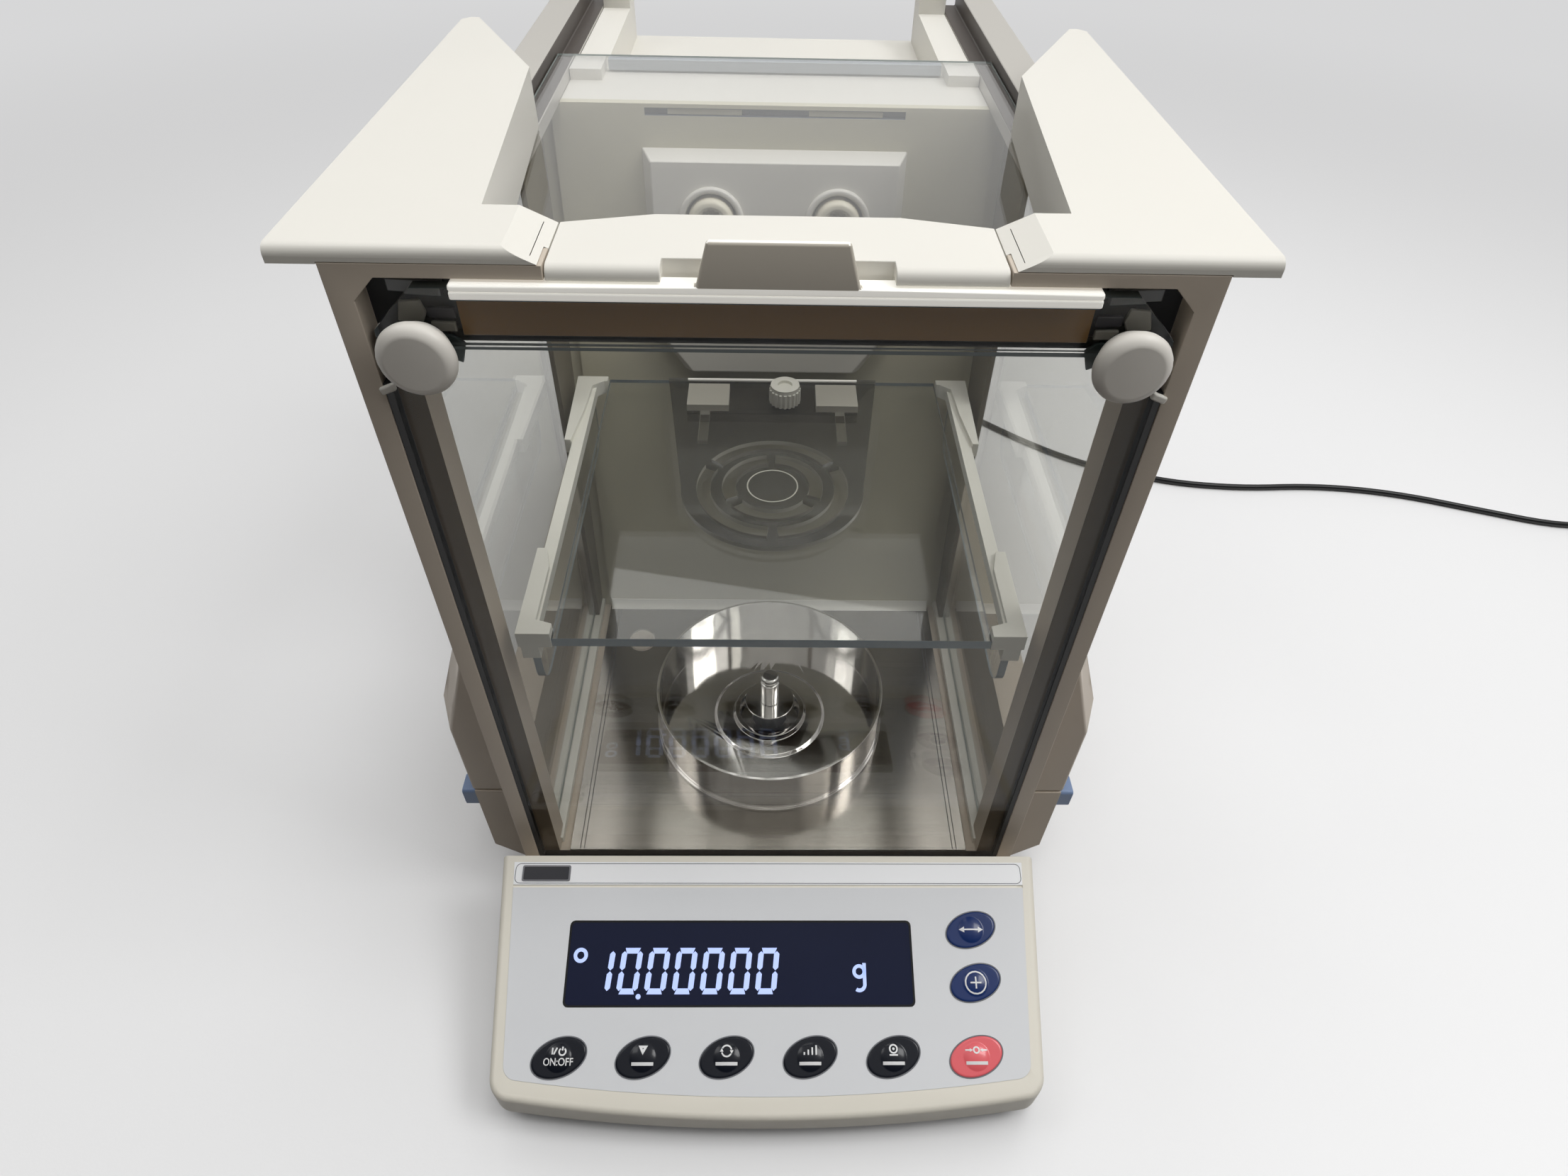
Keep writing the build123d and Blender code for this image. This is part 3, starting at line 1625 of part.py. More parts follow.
parts = {
    "base_housing": base_housing(),
    "base_plate": base_plate(),
    "base_screws": base_screws(),
    "front_feet": front_feet(),
    "levelling_foot_left": levelling_foot(-foot_x),
    "levelling_foot_right": levelling_foot(foot_x),
    "floor_plate": floor_plate(),
    "spirit_level": spirit_level(),
    "draft_ring": draft_ring(),
    "weighing_pan": weighing_pan(),
    "reference_weight": reference_weight(),
    "weighing_lever": weighing_lever(),
    "weighing_cell": weighing_cell(),
    "calibration_weight": calibration_weight(),
    "front_frame": front_frame(),
    "front_glass": front_glass(),
    "front_gasket": front_gasket(),
    "glass_trim": glass_trim(),
    "shoulder_cover_left": mirrored(shoulder_cover()),
    "shoulder_cover_right": shoulder_cover(),
    "roof_rails": both(roof_rail()),
    "roof_glass": roof_glass(),
    "roof_beam": roof_beam(),
    "side_floor_rails": both(floor_rail()),
    "rear_wall": rear_wall(),
    "ioniser_cover": ioniser_cover(),
    "ioniser_emitters": ioniser_emitters(),
    "rear_housing": rear_housing(),
    "rear_panel": rear_panel(),
    "main_board": main_board(),
    "shelf_glasses": shelf_glasses(),
    "shelf_rails": both(shelf_rail()),
    "shelf_vent_plate": shelf_vent_plate(),
    "shelf_knob": shelf_knob(),
    "console_top": console_top(),
    "console_bottom": console_bottom(),
    "panel_overlay": panel_overlay(),
    "display_window": display_window(),
    "display_board": display_board(),
    "power_jack": power_jack(),
    "dc_plug": dc_plug(),
    "supply_cord": supply_lead(),
}
for name, x, y, long, short in key_places():
    parts[name] = key(x, y, long, short)
for side, shape in (("right", door_glass()), ("left", mirrored(door_glass()))):
    parts[f"side_door_glass_{side}"] = shape
for side, shape in (("right", door_handle()), ("left", mirrored(door_handle()))):
    parts[f"side_door_handle_{side}"] = shape
for side, shape in (("right", door_catch()), ("left", mirrored(door_catch()))):
    parts[f"door_catch_{side}"] = shape
for side, shape in (("right", thumbscrew()), ("left", mirrored(thumbscrew()))):
    parts[f"thumbscrew_{side}"] = shape
coil, coil_end = cord_coil()
print("coil end", coil_end)
parts["cord_coil"] = coil
parts["ac_adapter"] = ac_adapter(coil_end)

for name, shapes in parts.items():
    export(name, shapes)
print(len(parts), "sub-parts")
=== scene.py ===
# Microbalance: glass weighing chamber, sloping key console, rear cell housing and supply lead.
import json
import math

import bmesh
import bpy
import numpy as np
from mathutils import Matrix, Vector


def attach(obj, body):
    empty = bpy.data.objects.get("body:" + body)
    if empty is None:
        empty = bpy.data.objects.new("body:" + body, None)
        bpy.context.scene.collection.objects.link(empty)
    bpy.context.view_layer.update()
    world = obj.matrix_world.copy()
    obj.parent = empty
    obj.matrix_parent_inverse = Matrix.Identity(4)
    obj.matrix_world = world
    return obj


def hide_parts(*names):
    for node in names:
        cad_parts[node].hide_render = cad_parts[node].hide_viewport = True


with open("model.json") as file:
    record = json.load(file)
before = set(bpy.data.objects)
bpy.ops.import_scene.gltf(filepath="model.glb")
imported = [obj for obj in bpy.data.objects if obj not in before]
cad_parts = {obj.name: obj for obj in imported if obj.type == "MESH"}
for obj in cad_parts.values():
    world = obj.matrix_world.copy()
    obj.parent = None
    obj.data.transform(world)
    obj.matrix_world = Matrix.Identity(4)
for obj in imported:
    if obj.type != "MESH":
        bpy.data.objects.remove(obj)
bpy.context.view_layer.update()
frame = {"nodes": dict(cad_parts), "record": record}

place = {  # where the frame's planes lie, in metres, as the CAD has them
    "glassY": -0.12505,
    "floorZ": 0.034,
    "slopeY": -0.13705,
    "slopeZ": 0.054,
    "slopeTurn": math.radians(17.3),
    "wallFoot": 0.163,
    "wallLean": 0.122,
}
chamberZero = np.array([0, place["glassY"], place["floorZ"]])

cameraFacts = {
    "sensor": 36.0,
    "lens": 21.097,
    "at": (-0.00270, -0.34167, 0.42655),
    "yaw": math.radians(1.64),
    "pitch": math.radians(44.81),
    "roll": math.radians(-1.59),
}


# the view direction is turned by yaw and pitch, and the frame is rolled about it
def makeCamera(facts):
    sinYaw, cosYaw = math.sin(facts["yaw"]), math.cos(facts["yaw"])
    sinPitch, cosPitch = math.sin(facts["pitch"]), math.cos(facts["pitch"])
    ahead = Vector((sinYaw * cosPitch, cosYaw * cosPitch, -sinPitch))
    right = Vector((cosYaw, -sinYaw, 0))
    down = ahead.cross(right)
    c, s = math.cos(facts["roll"]), math.sin(facts["roll"])
    across = right * c + down * s
    below = -right * s + down * c
    data = bpy.data.cameras.new("photoCamera")
    data.sensor_width = facts["sensor"]
    data.lens = facts["lens"]
    data.clip_start = 0.01
    camera = bpy.data.objects.new("photoCamera", data)
    turn = Matrix((across, -below, -ahead)).transposed().to_4x4()
    camera.matrix_world = Matrix.Translation(facts["at"]) @ turn
    bpy.context.scene.collection.objects.link(camera)
    bpy.context.scene.camera = camera


makeCamera(cameraFacts)
bpy.context.scene.view_settings.view_transform = "Standard"
print("stage: camera")

lead = {  # lengths in metres
    "radius": 0.0021,
    "length": 1.84,
    "coilCentre": (0.666, 0.190),
    "coilRadius": 0.0250,
    "coilPitch": 0.0047,
    "coilTuck": 0.0010,
    "layerTurns": 3.25,
    "climbTurns": 0.5,
    "tail": 0.040,
    "intoAdapter": 0.014,
    "pointsPerTurn": 14,
}
leadRoute = [  # from the plug down to the table and on to the coil
    (0.062, 0.273, 0.060),
    (0.062, 0.292, 0.060),
    (0.065, 0.313, 0.049),
    (0.073, 0.329, 0.027),
    (0.090, 0.338, 0.007),
    (0.119, 0.331, 0.0021),
    (0.152, 0.301, 0.0021),
    (0.186, 0.266, 0.0021),
    (0.232, 0.229, 0.0021),
    (0.290, 0.203, 0.0021),
    (0.350, 0.195, 0.0021),
    (0.409, 0.199, 0.0021),
    (0.466, 0.191, 0.0021),
    (0.520, 0.172, 0.0021),
    (0.571, 0.1545, 0.0021),
    (0.620, 0.1574, 0.0021),
    (0.648, 0.1574, 0.0021),
]


# control points of the put-away coil: a spiral in on the table, a half turn that climbs, a
# spiral out on top
def coilPoints(facts):
    turns, climb = facts["layerTurns"], facts["climbTurns"]
    total = 2 * turns + climb
    t = np.linspace(0.0, total, round(total * facts["pointsPerTurn"]) + 1)
    pitch = facts["coilPitch"]
    outer = facts["coilRadius"] + turns * pitch / 2
    inner = outer - turns * pitch
    part = np.clip((t - turns) / climb, 0, 1)
    radius = np.where(t <= turns, outer - pitch * t, inner + pitch * np.clip(t - turns - climb, 0, None))
    radius = radius - facts["coilTuck"] * np.sin(np.pi * part)
    radius = radius / math.cos(math.pi / facts["pointsPerTurn"])  # the spline runs inside its points
    rise = pitch * (1 - np.cos(np.pi * part)) / 2
    angle = 2 * np.pi * t - np.pi / 2
    x = facts["coilCentre"][0] + radius * np.cos(angle)
    y = facts["coilCentre"][1] + radius * np.sin(angle)
    points = np.stack([x, y, facts["radius"] + rise], axis=1)
    reach = facts["tail"] + facts["intoAdapter"]
    tail = points[-1] + np.array([[reach * 0.5, 0, 0], [reach, 0, 0]])
    tail[:, 1] = facts["coilCentre"][1] - outer
    return np.concatenate([points, tail])


# the route and the coil as control points of one smooth line with a round section
def makeLead(facts):
    points = np.concatenate([np.array(leadRoute), coilPoints(facts)])
    data = bpy.data.curves.new("supplyLead", "CURVE")
    data.dimensions = "3D"
    spline = data.splines.new("NURBS")
    spline.points.add(len(points) - 1)
    flat = np.concatenate([points, np.ones((len(points), 1))], axis=1)
    spline.points.foreach_set("co", flat.ravel())
    spline.points.foreach_set("radius", np.full(len(points), facts["radius"]))
    spline.order_u = 3
    spline.use_endpoint_u = True
    data.bevel_depth = 1.0  # times each point's radius
    data.bevel_resolution = 5
    data.resolution_u = 6
    data.use_fill_caps = True
    piece = bpy.data.objects.new("supplyLead", data)
    bpy.context.scene.collection.objects.link(piece)
    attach(piece, "balance")
    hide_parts("supply_cord", "cord_coil")
    return piece


supplyLead = makeLead(lead)
print("stage: lead")

colourSocket, floatSocket, vectorSocket = "NodeSocketColor", "NodeSocketFloat", "NodeSocketVector"


def setInputs(node, values):
    for key, value in (values or {}).items():
        node.inputs[key].default_value = value
    return node


def addNode(tree, kind, settings=None, values=None):
    node = tree.nodes.new("ShaderNode" + kind)
    for key, value in (settings or {}).items():
        setattr(node, key, value)
    return setInputs(node, values)


def mathNode(tree, operation, values=None):
    return addNode(tree, "Math", {"operation": operation}, values)


# one link for each row of node, output, node and input
def linkAll(tree, rows):
    for source, output, target, entry in rows:
        tree.links.new(source.outputs[output], target.inputs[entry])


# a shader group with the given inputs that puts out a colour, a roughness and a normal
def makeGroup(name, inputs):
    tree = bpy.data.node_groups.new(name, "ShaderNodeTree")
    for label, kind, value in inputs:
        tree.interface.new_socket(label, in_out="INPUT", socket_type=kind).default_value = value
    for label, kind in (("Color", colourSocket), ("Roughness", floatSocket), ("Normal", vectorSocket)):
        tree.interface.new_socket(label, in_out="OUTPUT", socket_type=kind)
    return tree, tree.nodes.new("NodeGroupInput"), tree.nodes.new("NodeGroupOutput")


# the end of both groups: one noise picks tone and gloss between two ends, another lifts the surface
def finishGroup(tree, given, out, tone, height, ends, depth, distance):
    mix = addNode(tree, "Mix", {"data_type": "RGBA"})
    gloss = addNode(tree, "MapRange")
    bump = addNode(tree, "Bump", values={"Distance": distance})
    linkAll(tree, [
        (tone, "Fac", mix, "Factor"),
        (given, ends[0], mix, "A"),
        (given, ends[1], mix, "B"),
        (tone, "Fac", gloss, "Value"),
        (given, "Gloss Low", gloss, "To Min"),
        (given, "Gloss High", gloss, "To Max"),
        (given, depth, bump, "Strength"),
        (height, "Fac", bump, "Height"),
        (mix, "Result", out, "Color"),
        (gloss, "Result", out, "Roughness"),
        (bump, "Normal", out, "Normal"),
    ])
    return tree


# moulded plastic: cloudy tint, fine grain in the surface and slightly uneven gloss
def makeMouldedGrain():
    tree, given, out = makeGroup("mouldedGrain", [
        ("Tint", colourSocket, (0.8, 0.8, 0.8, 1)),
        ("Shade", colourSocket, (0.7, 0.7, 0.7, 1)),
        ("Cloud Size", floatSocket, 14.0),
        ("Grain Size", floatSocket, 1400.0),
        ("Grain Depth", floatSocket, 0.05),
        ("Gloss Low", floatSocket, 0.35),
        ("Gloss High", floatSocket, 0.5),
    ])
    at = addNode(tree, "TexCoord")
    cloud = addNode(tree, "TexNoise", values={"Detail": 4.0, "Roughness": 0.6})
    grain = addNode(tree, "TexNoise", values={"Detail": 2.0, "Roughness": 0.55})
    linkAll(tree, [
        (at, "Object", cloud, "Vector"),
        (at, "Object", grain, "Vector"),
        (given, "Cloud Size", cloud, "Scale"),
        (given, "Grain Size", grain, "Scale"),
    ])
    return finishGroup(tree, given, out, cloud, grain, ("Shade", "Tint"), "Grain Depth", 0.00004)


# brushed metal: long fine streaks along one axis that change gloss, tone and surface
def makeDrawnLines():
    tree, given, out = makeGroup("drawnLines", [
        ("Light", colourSocket, (0.8, 0.8, 0.8, 1)),
        ("Dark", colourSocket, (0.5, 0.5, 0.5, 1)),
        ("Stretch", vectorSocket, (6.0, 900.0, 900.0)),
        ("Line Depth", floatSocket, 0.1),
        ("Gloss Low", floatSocket, 0.2),
        ("Gloss High", floatSocket, 0.35),
    ])
    at = addNode(tree, "TexCoord")
    stretch = addNode(tree, "VectorMath", {"operation": "MULTIPLY"})
    streaks = addNode(tree, "TexNoise", values={"Scale": 1.0, "Detail": 3.0, "Roughness": 0.7})
    linkAll(tree, [
        (at, "Object", stretch, 0),
        (given, "Stretch", stretch, 1),
        (stretch, "Vector", streaks, "Vector"),
    ])
    return finishGroup(tree, given, out, streaks, streaks, ("Dark", "Light"), "Line Depth", 0.00003)


mouldedGrain = makeMouldedGrain()
drawnLines = makeDrawnLines()


# a material with values on its Principled shader, and its node tree and shader
def newMaterial(name, values):
    material = bpy.data.materials.new(name)
    material.use_nodes = True
    tree = material.node_tree
    return material, tree, setInputs(tree.nodes["Principled BSDF"], values)


# a material whose colour, gloss and surface come from one shared group
def groupMaterial(name, group, groupValues, shaderValues):
    material, tree, shader = newMaterial(name, shaderValues)
    pattern = addNode(tree, "Group", {"node_tree": group}, groupValues)
    linkAll(tree, [
        (pattern, "Color", shader, "Base Color"),
        (pattern, "Roughness", shader, "Roughness"),
        (pattern, "Normal", shader, "Normal"),
    ])
    return material


# moulded plastic whose tint clouds over to a shade, under a clear coat where it has one
def plastic(name, tint, shade, low=0.34, high=0.5, depth=0.05, grain=1400.0, coat=0.0):
    values = {
        "Tint": (*tint, 1),
        "Shade": (*shade, 1),
        "Grain Size": grain,
        "Grain Depth": depth,
        "Gloss Low": low,
        "Gloss High": high,
    }
    return groupMaterial(name, mouldedGrain, values, {"Coat Weight": coat, "Coat Roughness": 0.08})


# drawn or polished metal whose light and dark streaks run along the stretch's smallest number
def metal(name, light, dark, stretch, low, high, depth=0.1):
    values = {
        "Light": (*light, 1),
        "Dark": (*dark, 1),
        "Stretch": stretch,
        "Line Depth": depth,
        "Gloss Low": low,
        "Gloss High": high,
    }
    return groupMaterial(name, drawnLines, values, {"Metallic": 1.0})


# clear glass that lets the lamps' light through to what stands behind it
def clearGlass(name, tint, rough=0.0, shadow=0.9, index=1.5, through=0.0):
    values = {"Base Color": (*tint, 1), "Roughness": rough, "IOR": index, "Transmission Weight": 1.0}
    material, tree, shader = newMaterial(name, values)
    path = addNode(tree, "LightPath")
    clear = addNode(tree, "BsdfTransparent", None, {"Color": (shadow, shadow, shadow, 1)})
    either = mathNode(tree, "MAXIMUM")
    least = mathNode(tree, "MAXIMUM", {1: through})
    mix = addNode(tree, "MixShader")
    linkAll(tree, [
        (path, "Is Shadow Ray", either, 0),
        (path, "Is Diffuse Ray", either, 1),
        (either, 0, least, 0),
        (least, 0, mix, 0),
        (shader, 0, mix, 1),
        (clear, 0, mix, 2),
        (mix, 0, tree.nodes["Material Output"], "Surface"),
    ])
    return material


# a lit surface: one colour for its paint and for its own light
def glowing(name, colour, strength):
    values = {"Base Color": (*colour, 1), "Emission Color": (*colour, 1), "Emission Strength": strength}
    return newMaterial(name, values)[0]


plastics = {  # name, tint, shade, lowest and highest roughness, grain depth, grain size, coat
    "shell": ("shellWhite", (0.77, 0.75, 0.69), (0.75, 0.73, 0.67), 0.36, 0.5, 0.06),
    # the covers' white darkened to a brown grey: painted shade on the frame, the door handles and the base
    "frame": ("frameWhitePaintedShade", (0.58, 0.505, 0.42), (0.55, 0.48, 0.395), 0.4, 0.52, 0.06),
    "bezel": ("bezelBeige", (0.77, 0.735, 0.645), (0.745, 0.71, 0.62), 0.36, 0.48, 0.06),
    "wall": ("wallWhite", (0.62, 0.59, 0.46), (0.59, 0.56, 0.43), 0.42, 0.55, 0.08),
    "bracketShade": ("bracketShade", (0.17, 0.15, 0.105), (0.14, 0.12, 0.085), 0.45, 0.55),
    "railWhite": ("railWhite", (0.50, 0.48, 0.44), (0.47, 0.45, 0.41), 0.3, 0.45),
    # painted shade on the rails' inner faces and ledge
    "railPaintedShade": ("railPaintedShade", (0.085, 0.07, 0.06), (0.065, 0.055, 0.047), 0.4, 0.55),
    "knob": ("knobWhite", (0.80, 0.77, 0.71), (0.78, 0.75, 0.69), 0.32, 0.44, 0.05),
    # painted shade on the frame's seat behind the front glass, deeper on the posts
    "seatShade": ("seatShadeBrown", (0.46, 0.26, 0.10), (0.40, 0.225, 0.08), 0.55, 0.7, 0.2, 2200.0),
    "seatDeepShade": ("seatDeepShade", (0.13, 0.09, 0.05), (0.10, 0.07, 0.04), 0.55, 0.7, 0.2, 2200.0),
    "stop": ("stopGrey", (0.52, 0.55, 0.575), (0.49, 0.52, 0.545), 0.2, 0.3, 0.02),
    # painted shade inside the rear wall's slot
    "slotPaintedShade": ("slotPaintedShade", (0.16, 0.18, 0.21), (0.14, 0.16, 0.19), 0.5, 0.6),
    # the front glass's dark edges, and the painted shadow line under the trim
    "edgeDarkAndShadow": ("glassEdgeAndShadowDark", (0.10, 0.12, 0.12), (0.07, 0.09, 0.09), 0.12, 0.2, 0.0),
    "edgeGreen": ("glassEdgeGreen", (0.36, 0.42, 0.40), (0.30, 0.36, 0.34), 0.12, 0.2, 0.0),
    "edgeBlue": ("glassEdgeBlue", (0.16, 0.22, 0.26), (0.13, 0.18, 0.22), 0.1, 0.16, 0.0),
    "edgeAcrylic": ("acrylicEdge", (0.58, 0.57, 0.49), (0.50, 0.49, 0.42), 0.2, 0.3, 0.0),
    "latchGrey": ("latchGrey", (0.22, 0.23, 0.24), (0.19, 0.20, 0.21), 0.3, 0.4),
    "latchShade": ("latchShade", (0.03, 0.028, 0.04), (0.022, 0.02, 0.03), 0.4, 0.5),
    "latchBeige": ("latchBeige", (0.44, 0.42, 0.37), (0.40, 0.38, 0.33), 0.4, 0.5),
    "latchGreen": ("latchGreen", (0.035, 0.055, 0.055), (0.025, 0.04, 0.042), 0.35, 0.5),
    "line": ("printLine", (0.12, 0.12, 0.135), (0.10, 0.10, 0.115), 0.4, 0.5),
    "rim": ("keyRimGrey", (0.16, 0.165, 0.18), (0.13, 0.135, 0.15), 0.35, 0.45),
    "plateRim": ("plateRim", (0.20, 0.20, 0.215), (0.17, 0.17, 0.185), 0.25, 0.35),
    # white that also glows: painted light on the trim
    "trim": ("trimWhiteGlow", (0.80, 0.79, 0.74), (0.78, 0.77, 0.72), 0.35, 0.45),
    # the trim's white darkened: painted shade on the tab's front
    "tabPaintedShade": ("tabPaintedShade", (0.54, 0.50, 0.43), (0.51, 0.47, 0.40), 0.36, 0.48, 0.06),
    "clip": ("clipWhite", (0.80, 0.79, 0.72), (0.77, 0.76, 0.69), 0.4, 0.5),
    "cream": ("creamPlastic", (0.78, 0.74, 0.60), (0.75, 0.70, 0.56), 0.35, 0.45),
    "dark": ("darkPlastic", (0.03, 0.03, 0.032), (0.022, 0.022, 0.024), 0.35, 0.5),
    # painted shade in the frame's corner pockets, and the display window's printed black border
    "pocketShadeAndPrint": ("pocketShadeAndPrintBlack", (0.004, 0.004, 0.005), (0.003, 0.003, 0.004), 0.6, 0.7),
    "rubber": ("gasketRubber", (0.014, 0.014, 0.014), (0.01, 0.01, 0.01), 0.5, 0.65),
    "cord": ("cordBlack", (0.012, 0.012, 0.013), (0.008, 0.008, 0.009), 0.3, 0.42, 0.1, 900.0),
    "panel": ("panelSilver", (0.70, 0.71, 0.725), (0.67, 0.68, 0.695), 0.4, 0.5, 0.12, 2600.0),
    "header": ("headerSilver", (0.90, 0.905, 0.915), (0.87, 0.875, 0.885), 0.4, 0.5, 0.12, 2600.0),
    "keyDark": ("keyDark", (0.008, 0.010, 0.016), (0.006, 0.007, 0.012), 0.2, 0.28, 0.05, 1600.0, 0.25),
    "keyNavy": ("keyNavy", (0.010, 0.030, 0.13), (0.008, 0.024, 0.11), 0.2, 0.28, 0.05, 1600.0, 0.25),
    "keyRed": ("keyRed", (0.80, 0.13, 0.15), (0.76, 0.115, 0.13), 0.22, 0.3, 0.05, 1600.0, 0.4),
    "tab": ("catchBlue", (0.22, 0.30, 0.48), (0.19, 0.27, 0.44), 0.35, 0.45),
    "board": ("boardGreen", (0.03, 0.14, 0.06), (0.02, 0.11, 0.05), 0.35, 0.45),
    "window": ("windowTint", (0.009, 0.013, 0.038), (0.007, 0.010, 0.032), 0.14, 0.2, 0.0, 800.0),
    "mark": ("markWhite", (0.80, 0.80, 0.80), (0.76, 0.76, 0.76), 0.4, 0.5),
    "plateDark": ("plateDark", (0.028, 0.028, 0.034), (0.02, 0.02, 0.026), 0.3, 0.4),
}
metals = {  # name, light and dark streaks, stretch, lowest and highest roughness, streak depth
    "floorSteel": ("floorSteel", (0.37, 0.345, 0.315), (0.25, 0.235, 0.215), (7, 1300, 1300), 0.1, 0.2),
    "plateSteel": ("plateSteel", (0.5, 0.5, 0.5), (0.4, 0.4, 0.4), (300, 300, 300), 0.4, 0.5),
    "ringSteel": ("ringSteel", (0.70, 0.68, 0.665), (0.56, 0.54, 0.525), (60, 60, 1500), 0.05, 0.11, 0.04),
    "polished": ("polishedSteel", (0.68, 0.665, 0.65), (0.60, 0.585, 0.57), (200, 200, 900), 0.05, 0.1, 0.02),
}
glasses = {  # name, tint, roughness, light let through in shadow, refraction index, share left plainly clear
    "clamp": ("clampClear", (0.82, 0.79, 0.69), 0.3, 0.9, 1.49, 0.15),
    "clear": ("clearGlass", (0.93, 0.945, 0.935), 0.0, 0.93),
    "frontClear": ("frontGlass", (0.81, 0.81, 0.785), 0.0, 0.90, 1.28),
    "sideClear": ("sideGlass", (0.97, 0.975, 0.97), 0.0, 0.93),
    "roofClear": ("roofGlass", (0.98, 0.985, 0.985), 0.0, 0.985),
    "smoked": ("ventAcrylic", (0.80, 0.79, 0.75), 0.0, 0.73, 1.49, 0.6),
}
extraValues = {  # set on a material's own shader: how clear, how bright and how shiny it is
    "clamp": {"Transmission Weight": 0.45},
    # the trim's glow is painted light
    "trim": {"Emission Color": (0.80, 0.78, 0.73, 1), "Emission Strength": 0.42},
    "frontClear": {"Specular IOR Level": 0.26},
    "window": {"Specular IOR Level": 0.22},
    "seatShade": {"Specular IOR Level": 0.12},
    "seatDeepShade": {"Specular IOR Level": 0.08},
    "keyDark": {"Specular IOR Level": 0.3},
    "keyNavy": {"Specular IOR Level": 0.35},
}
looks = {look: plastic(*values) for look, values in plastics.items()}
looks.update({look: metal(*values) for look, values in metals.items()})
looks.update({look: clearGlass(*values) for look, values in glasses.items()})
looks["glow"] = glowing("digitGlow", (0.42, 0.52, 0.86), 0.52)
for look, values in extraValues.items():
    setInputs(looks[look].node_tree.nodes["Principled BSDF"], values)
print("stage: materials")


# quads between neighbouring points of a rows by cols grid, as one array
def gridFaces(rows, cols, wrapRows=False, wrapCols=False):
    r = np.arange(rows if wrapRows else rows - 1)
    c = np.arange(cols if wrapCols else cols - 1)
    r, c = np.meshgrid(r, c, indexing="ij")
    r2, c2 = (r + 1) % rows, (c + 1) % cols
    return np.stack([r * cols + c, r * cols + c2, r2 * cols + c2, r2 * cols + c], axis=-1).reshape(-1, 4)


# angles once round a circle, the last one short of the first
def fullTurn(steps):
    return np.linspace(0, 2 * np.pi, steps, endpoint=False)


def paired(across, down):
    return np.stack([across, down], axis=1)


# the two sides of a line of points, half a width away on either side
def sidesOf(line, half):
    along = np.gradient(line, axis=0)
    along /= np.linalg.norm(along, axis=1)[:, None]
    side = paired(-along[:, 1], along[:, 0]) * half
    return line + side, line - side


# a mesh piece that rides on a body; doubles are merged and faces turned outwards
def newPiece(name, points, faces, look, body, replaced=(), sharp=35.0):
    mesh = bpy.data.meshes.new(name)
    faces = faces.tolist() if isinstance(faces, np.ndarray) else faces
    mesh.from_pydata(np.asarray(points).reshape(-1, 3).tolist(), [], faces)
    work = bmesh.new()
    work.from_mesh(mesh)
    bmesh.ops.remove_doubles(work, verts=work.verts, dist=1e-6)
    bmesh.ops.recalc_face_normals(work, faces=work.faces)
    work.to_mesh(mesh)
    work.free()
    return addPiece(name, mesh, look, body, replaced, sharp)


# a finished mesh as a piece with one look, smooth except at edges sharper than an angle
def addPiece(name, mesh, look, body, replaced=(), sharp=35.0):
    mesh.materials.clear()
    mesh.materials.append(looks[look])
    mesh.shade_smooth()
    mesh.set_sharp_from_angle(angle=math.radians(sharp))
    piece = bpy.data.objects.new(name, mesh)
    bpy.context.scene.collection.objects.link(piece)
    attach(piece, body)
    if replaced:
        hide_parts(*replaced)
    return piece


# the corners of an open profile, each but the ends replaced by a small arc of the given radius
def roundedProfile(corners, radius, steps=5):
    corners = np.asarray(corners, float)
    out = [corners[0]]
    for before, here, after in zip(corners, corners[1:], corners[2:]):
        a, b = before - here, after - here
        reach = min(radius, 0.45 * np.linalg.norm(a), 0.45 * np.linalg.norm(b))
        a, b = here + a / np.linalg.norm(a) * reach, here + b / np.linalg.norm(b) * reach
        t = np.linspace(0, 1, steps)[:, None]
        out.extend((1 - t) ** 2 * a + 2 * t * (1 - t) * here + t**2 * b)
    out.append(corners[-1])
    return np.array(out)


# a CAD node's own shape with rounded edges
def softCopy(node, look, edge, angle=28.0):
    mesh = frame["nodes"][node].data.copy()
    work = bmesh.new()
    work.from_mesh(mesh)
    bmesh.ops.remove_doubles(work, verts=work.verts, dist=1e-5)
    bmesh.ops.dissolve_limit(work, angle_limit=math.radians(0.4), verts=work.verts, edges=work.edges)
    work.to_mesh(mesh)
    work.free()
    body = next(b for b, nodes in frame["record"]["behaviour"]["bodies"].items() if node in nodes)
    return soften(addPiece(node + "_soft", mesh, look, body, (node,), angle), edge)


# rounded edges of a width in metres, where two faces meet at more than an angle
def soften(piece, edge, segments=3, angle=28.0):
    soft = piece.modifiers.new("softEdges", "BEVEL")
    soft.width = edge
    soft.segments = segments
    soft.limit_method = "ANGLE"
    soft.angle_limit = math.radians(angle)
    soft.harden_normals = True
    soft.use_clamp_overlap = True
    return piece


# three numbers of every vertex or face of a mesh, as rows of an array
def threes(items, key):
    values = np.zeros(3 * len(items))
    items.foreach_get(key, values)
    return values.reshape(-1, 3)


# metres to chamber millimetres: from the middle, the front glass's plane and the chamber's floor
def toChamber(at):
    return at * 1000 - chamberZero * 1000


def fromChamber(at):
    return at / 1000 + chamberZero


def between(values, ends):
    return (values > ends[0]) & (values < ends[1])


# the sides of a prism between two outlines that follow each other in the list of points
def prismSides(size, first):
    around = np.arange(size)
    nextOne = (around + 1) % size
    return (np.stack([around, nextOne, nextOne + size, around + size], axis=1) + first).tolist()


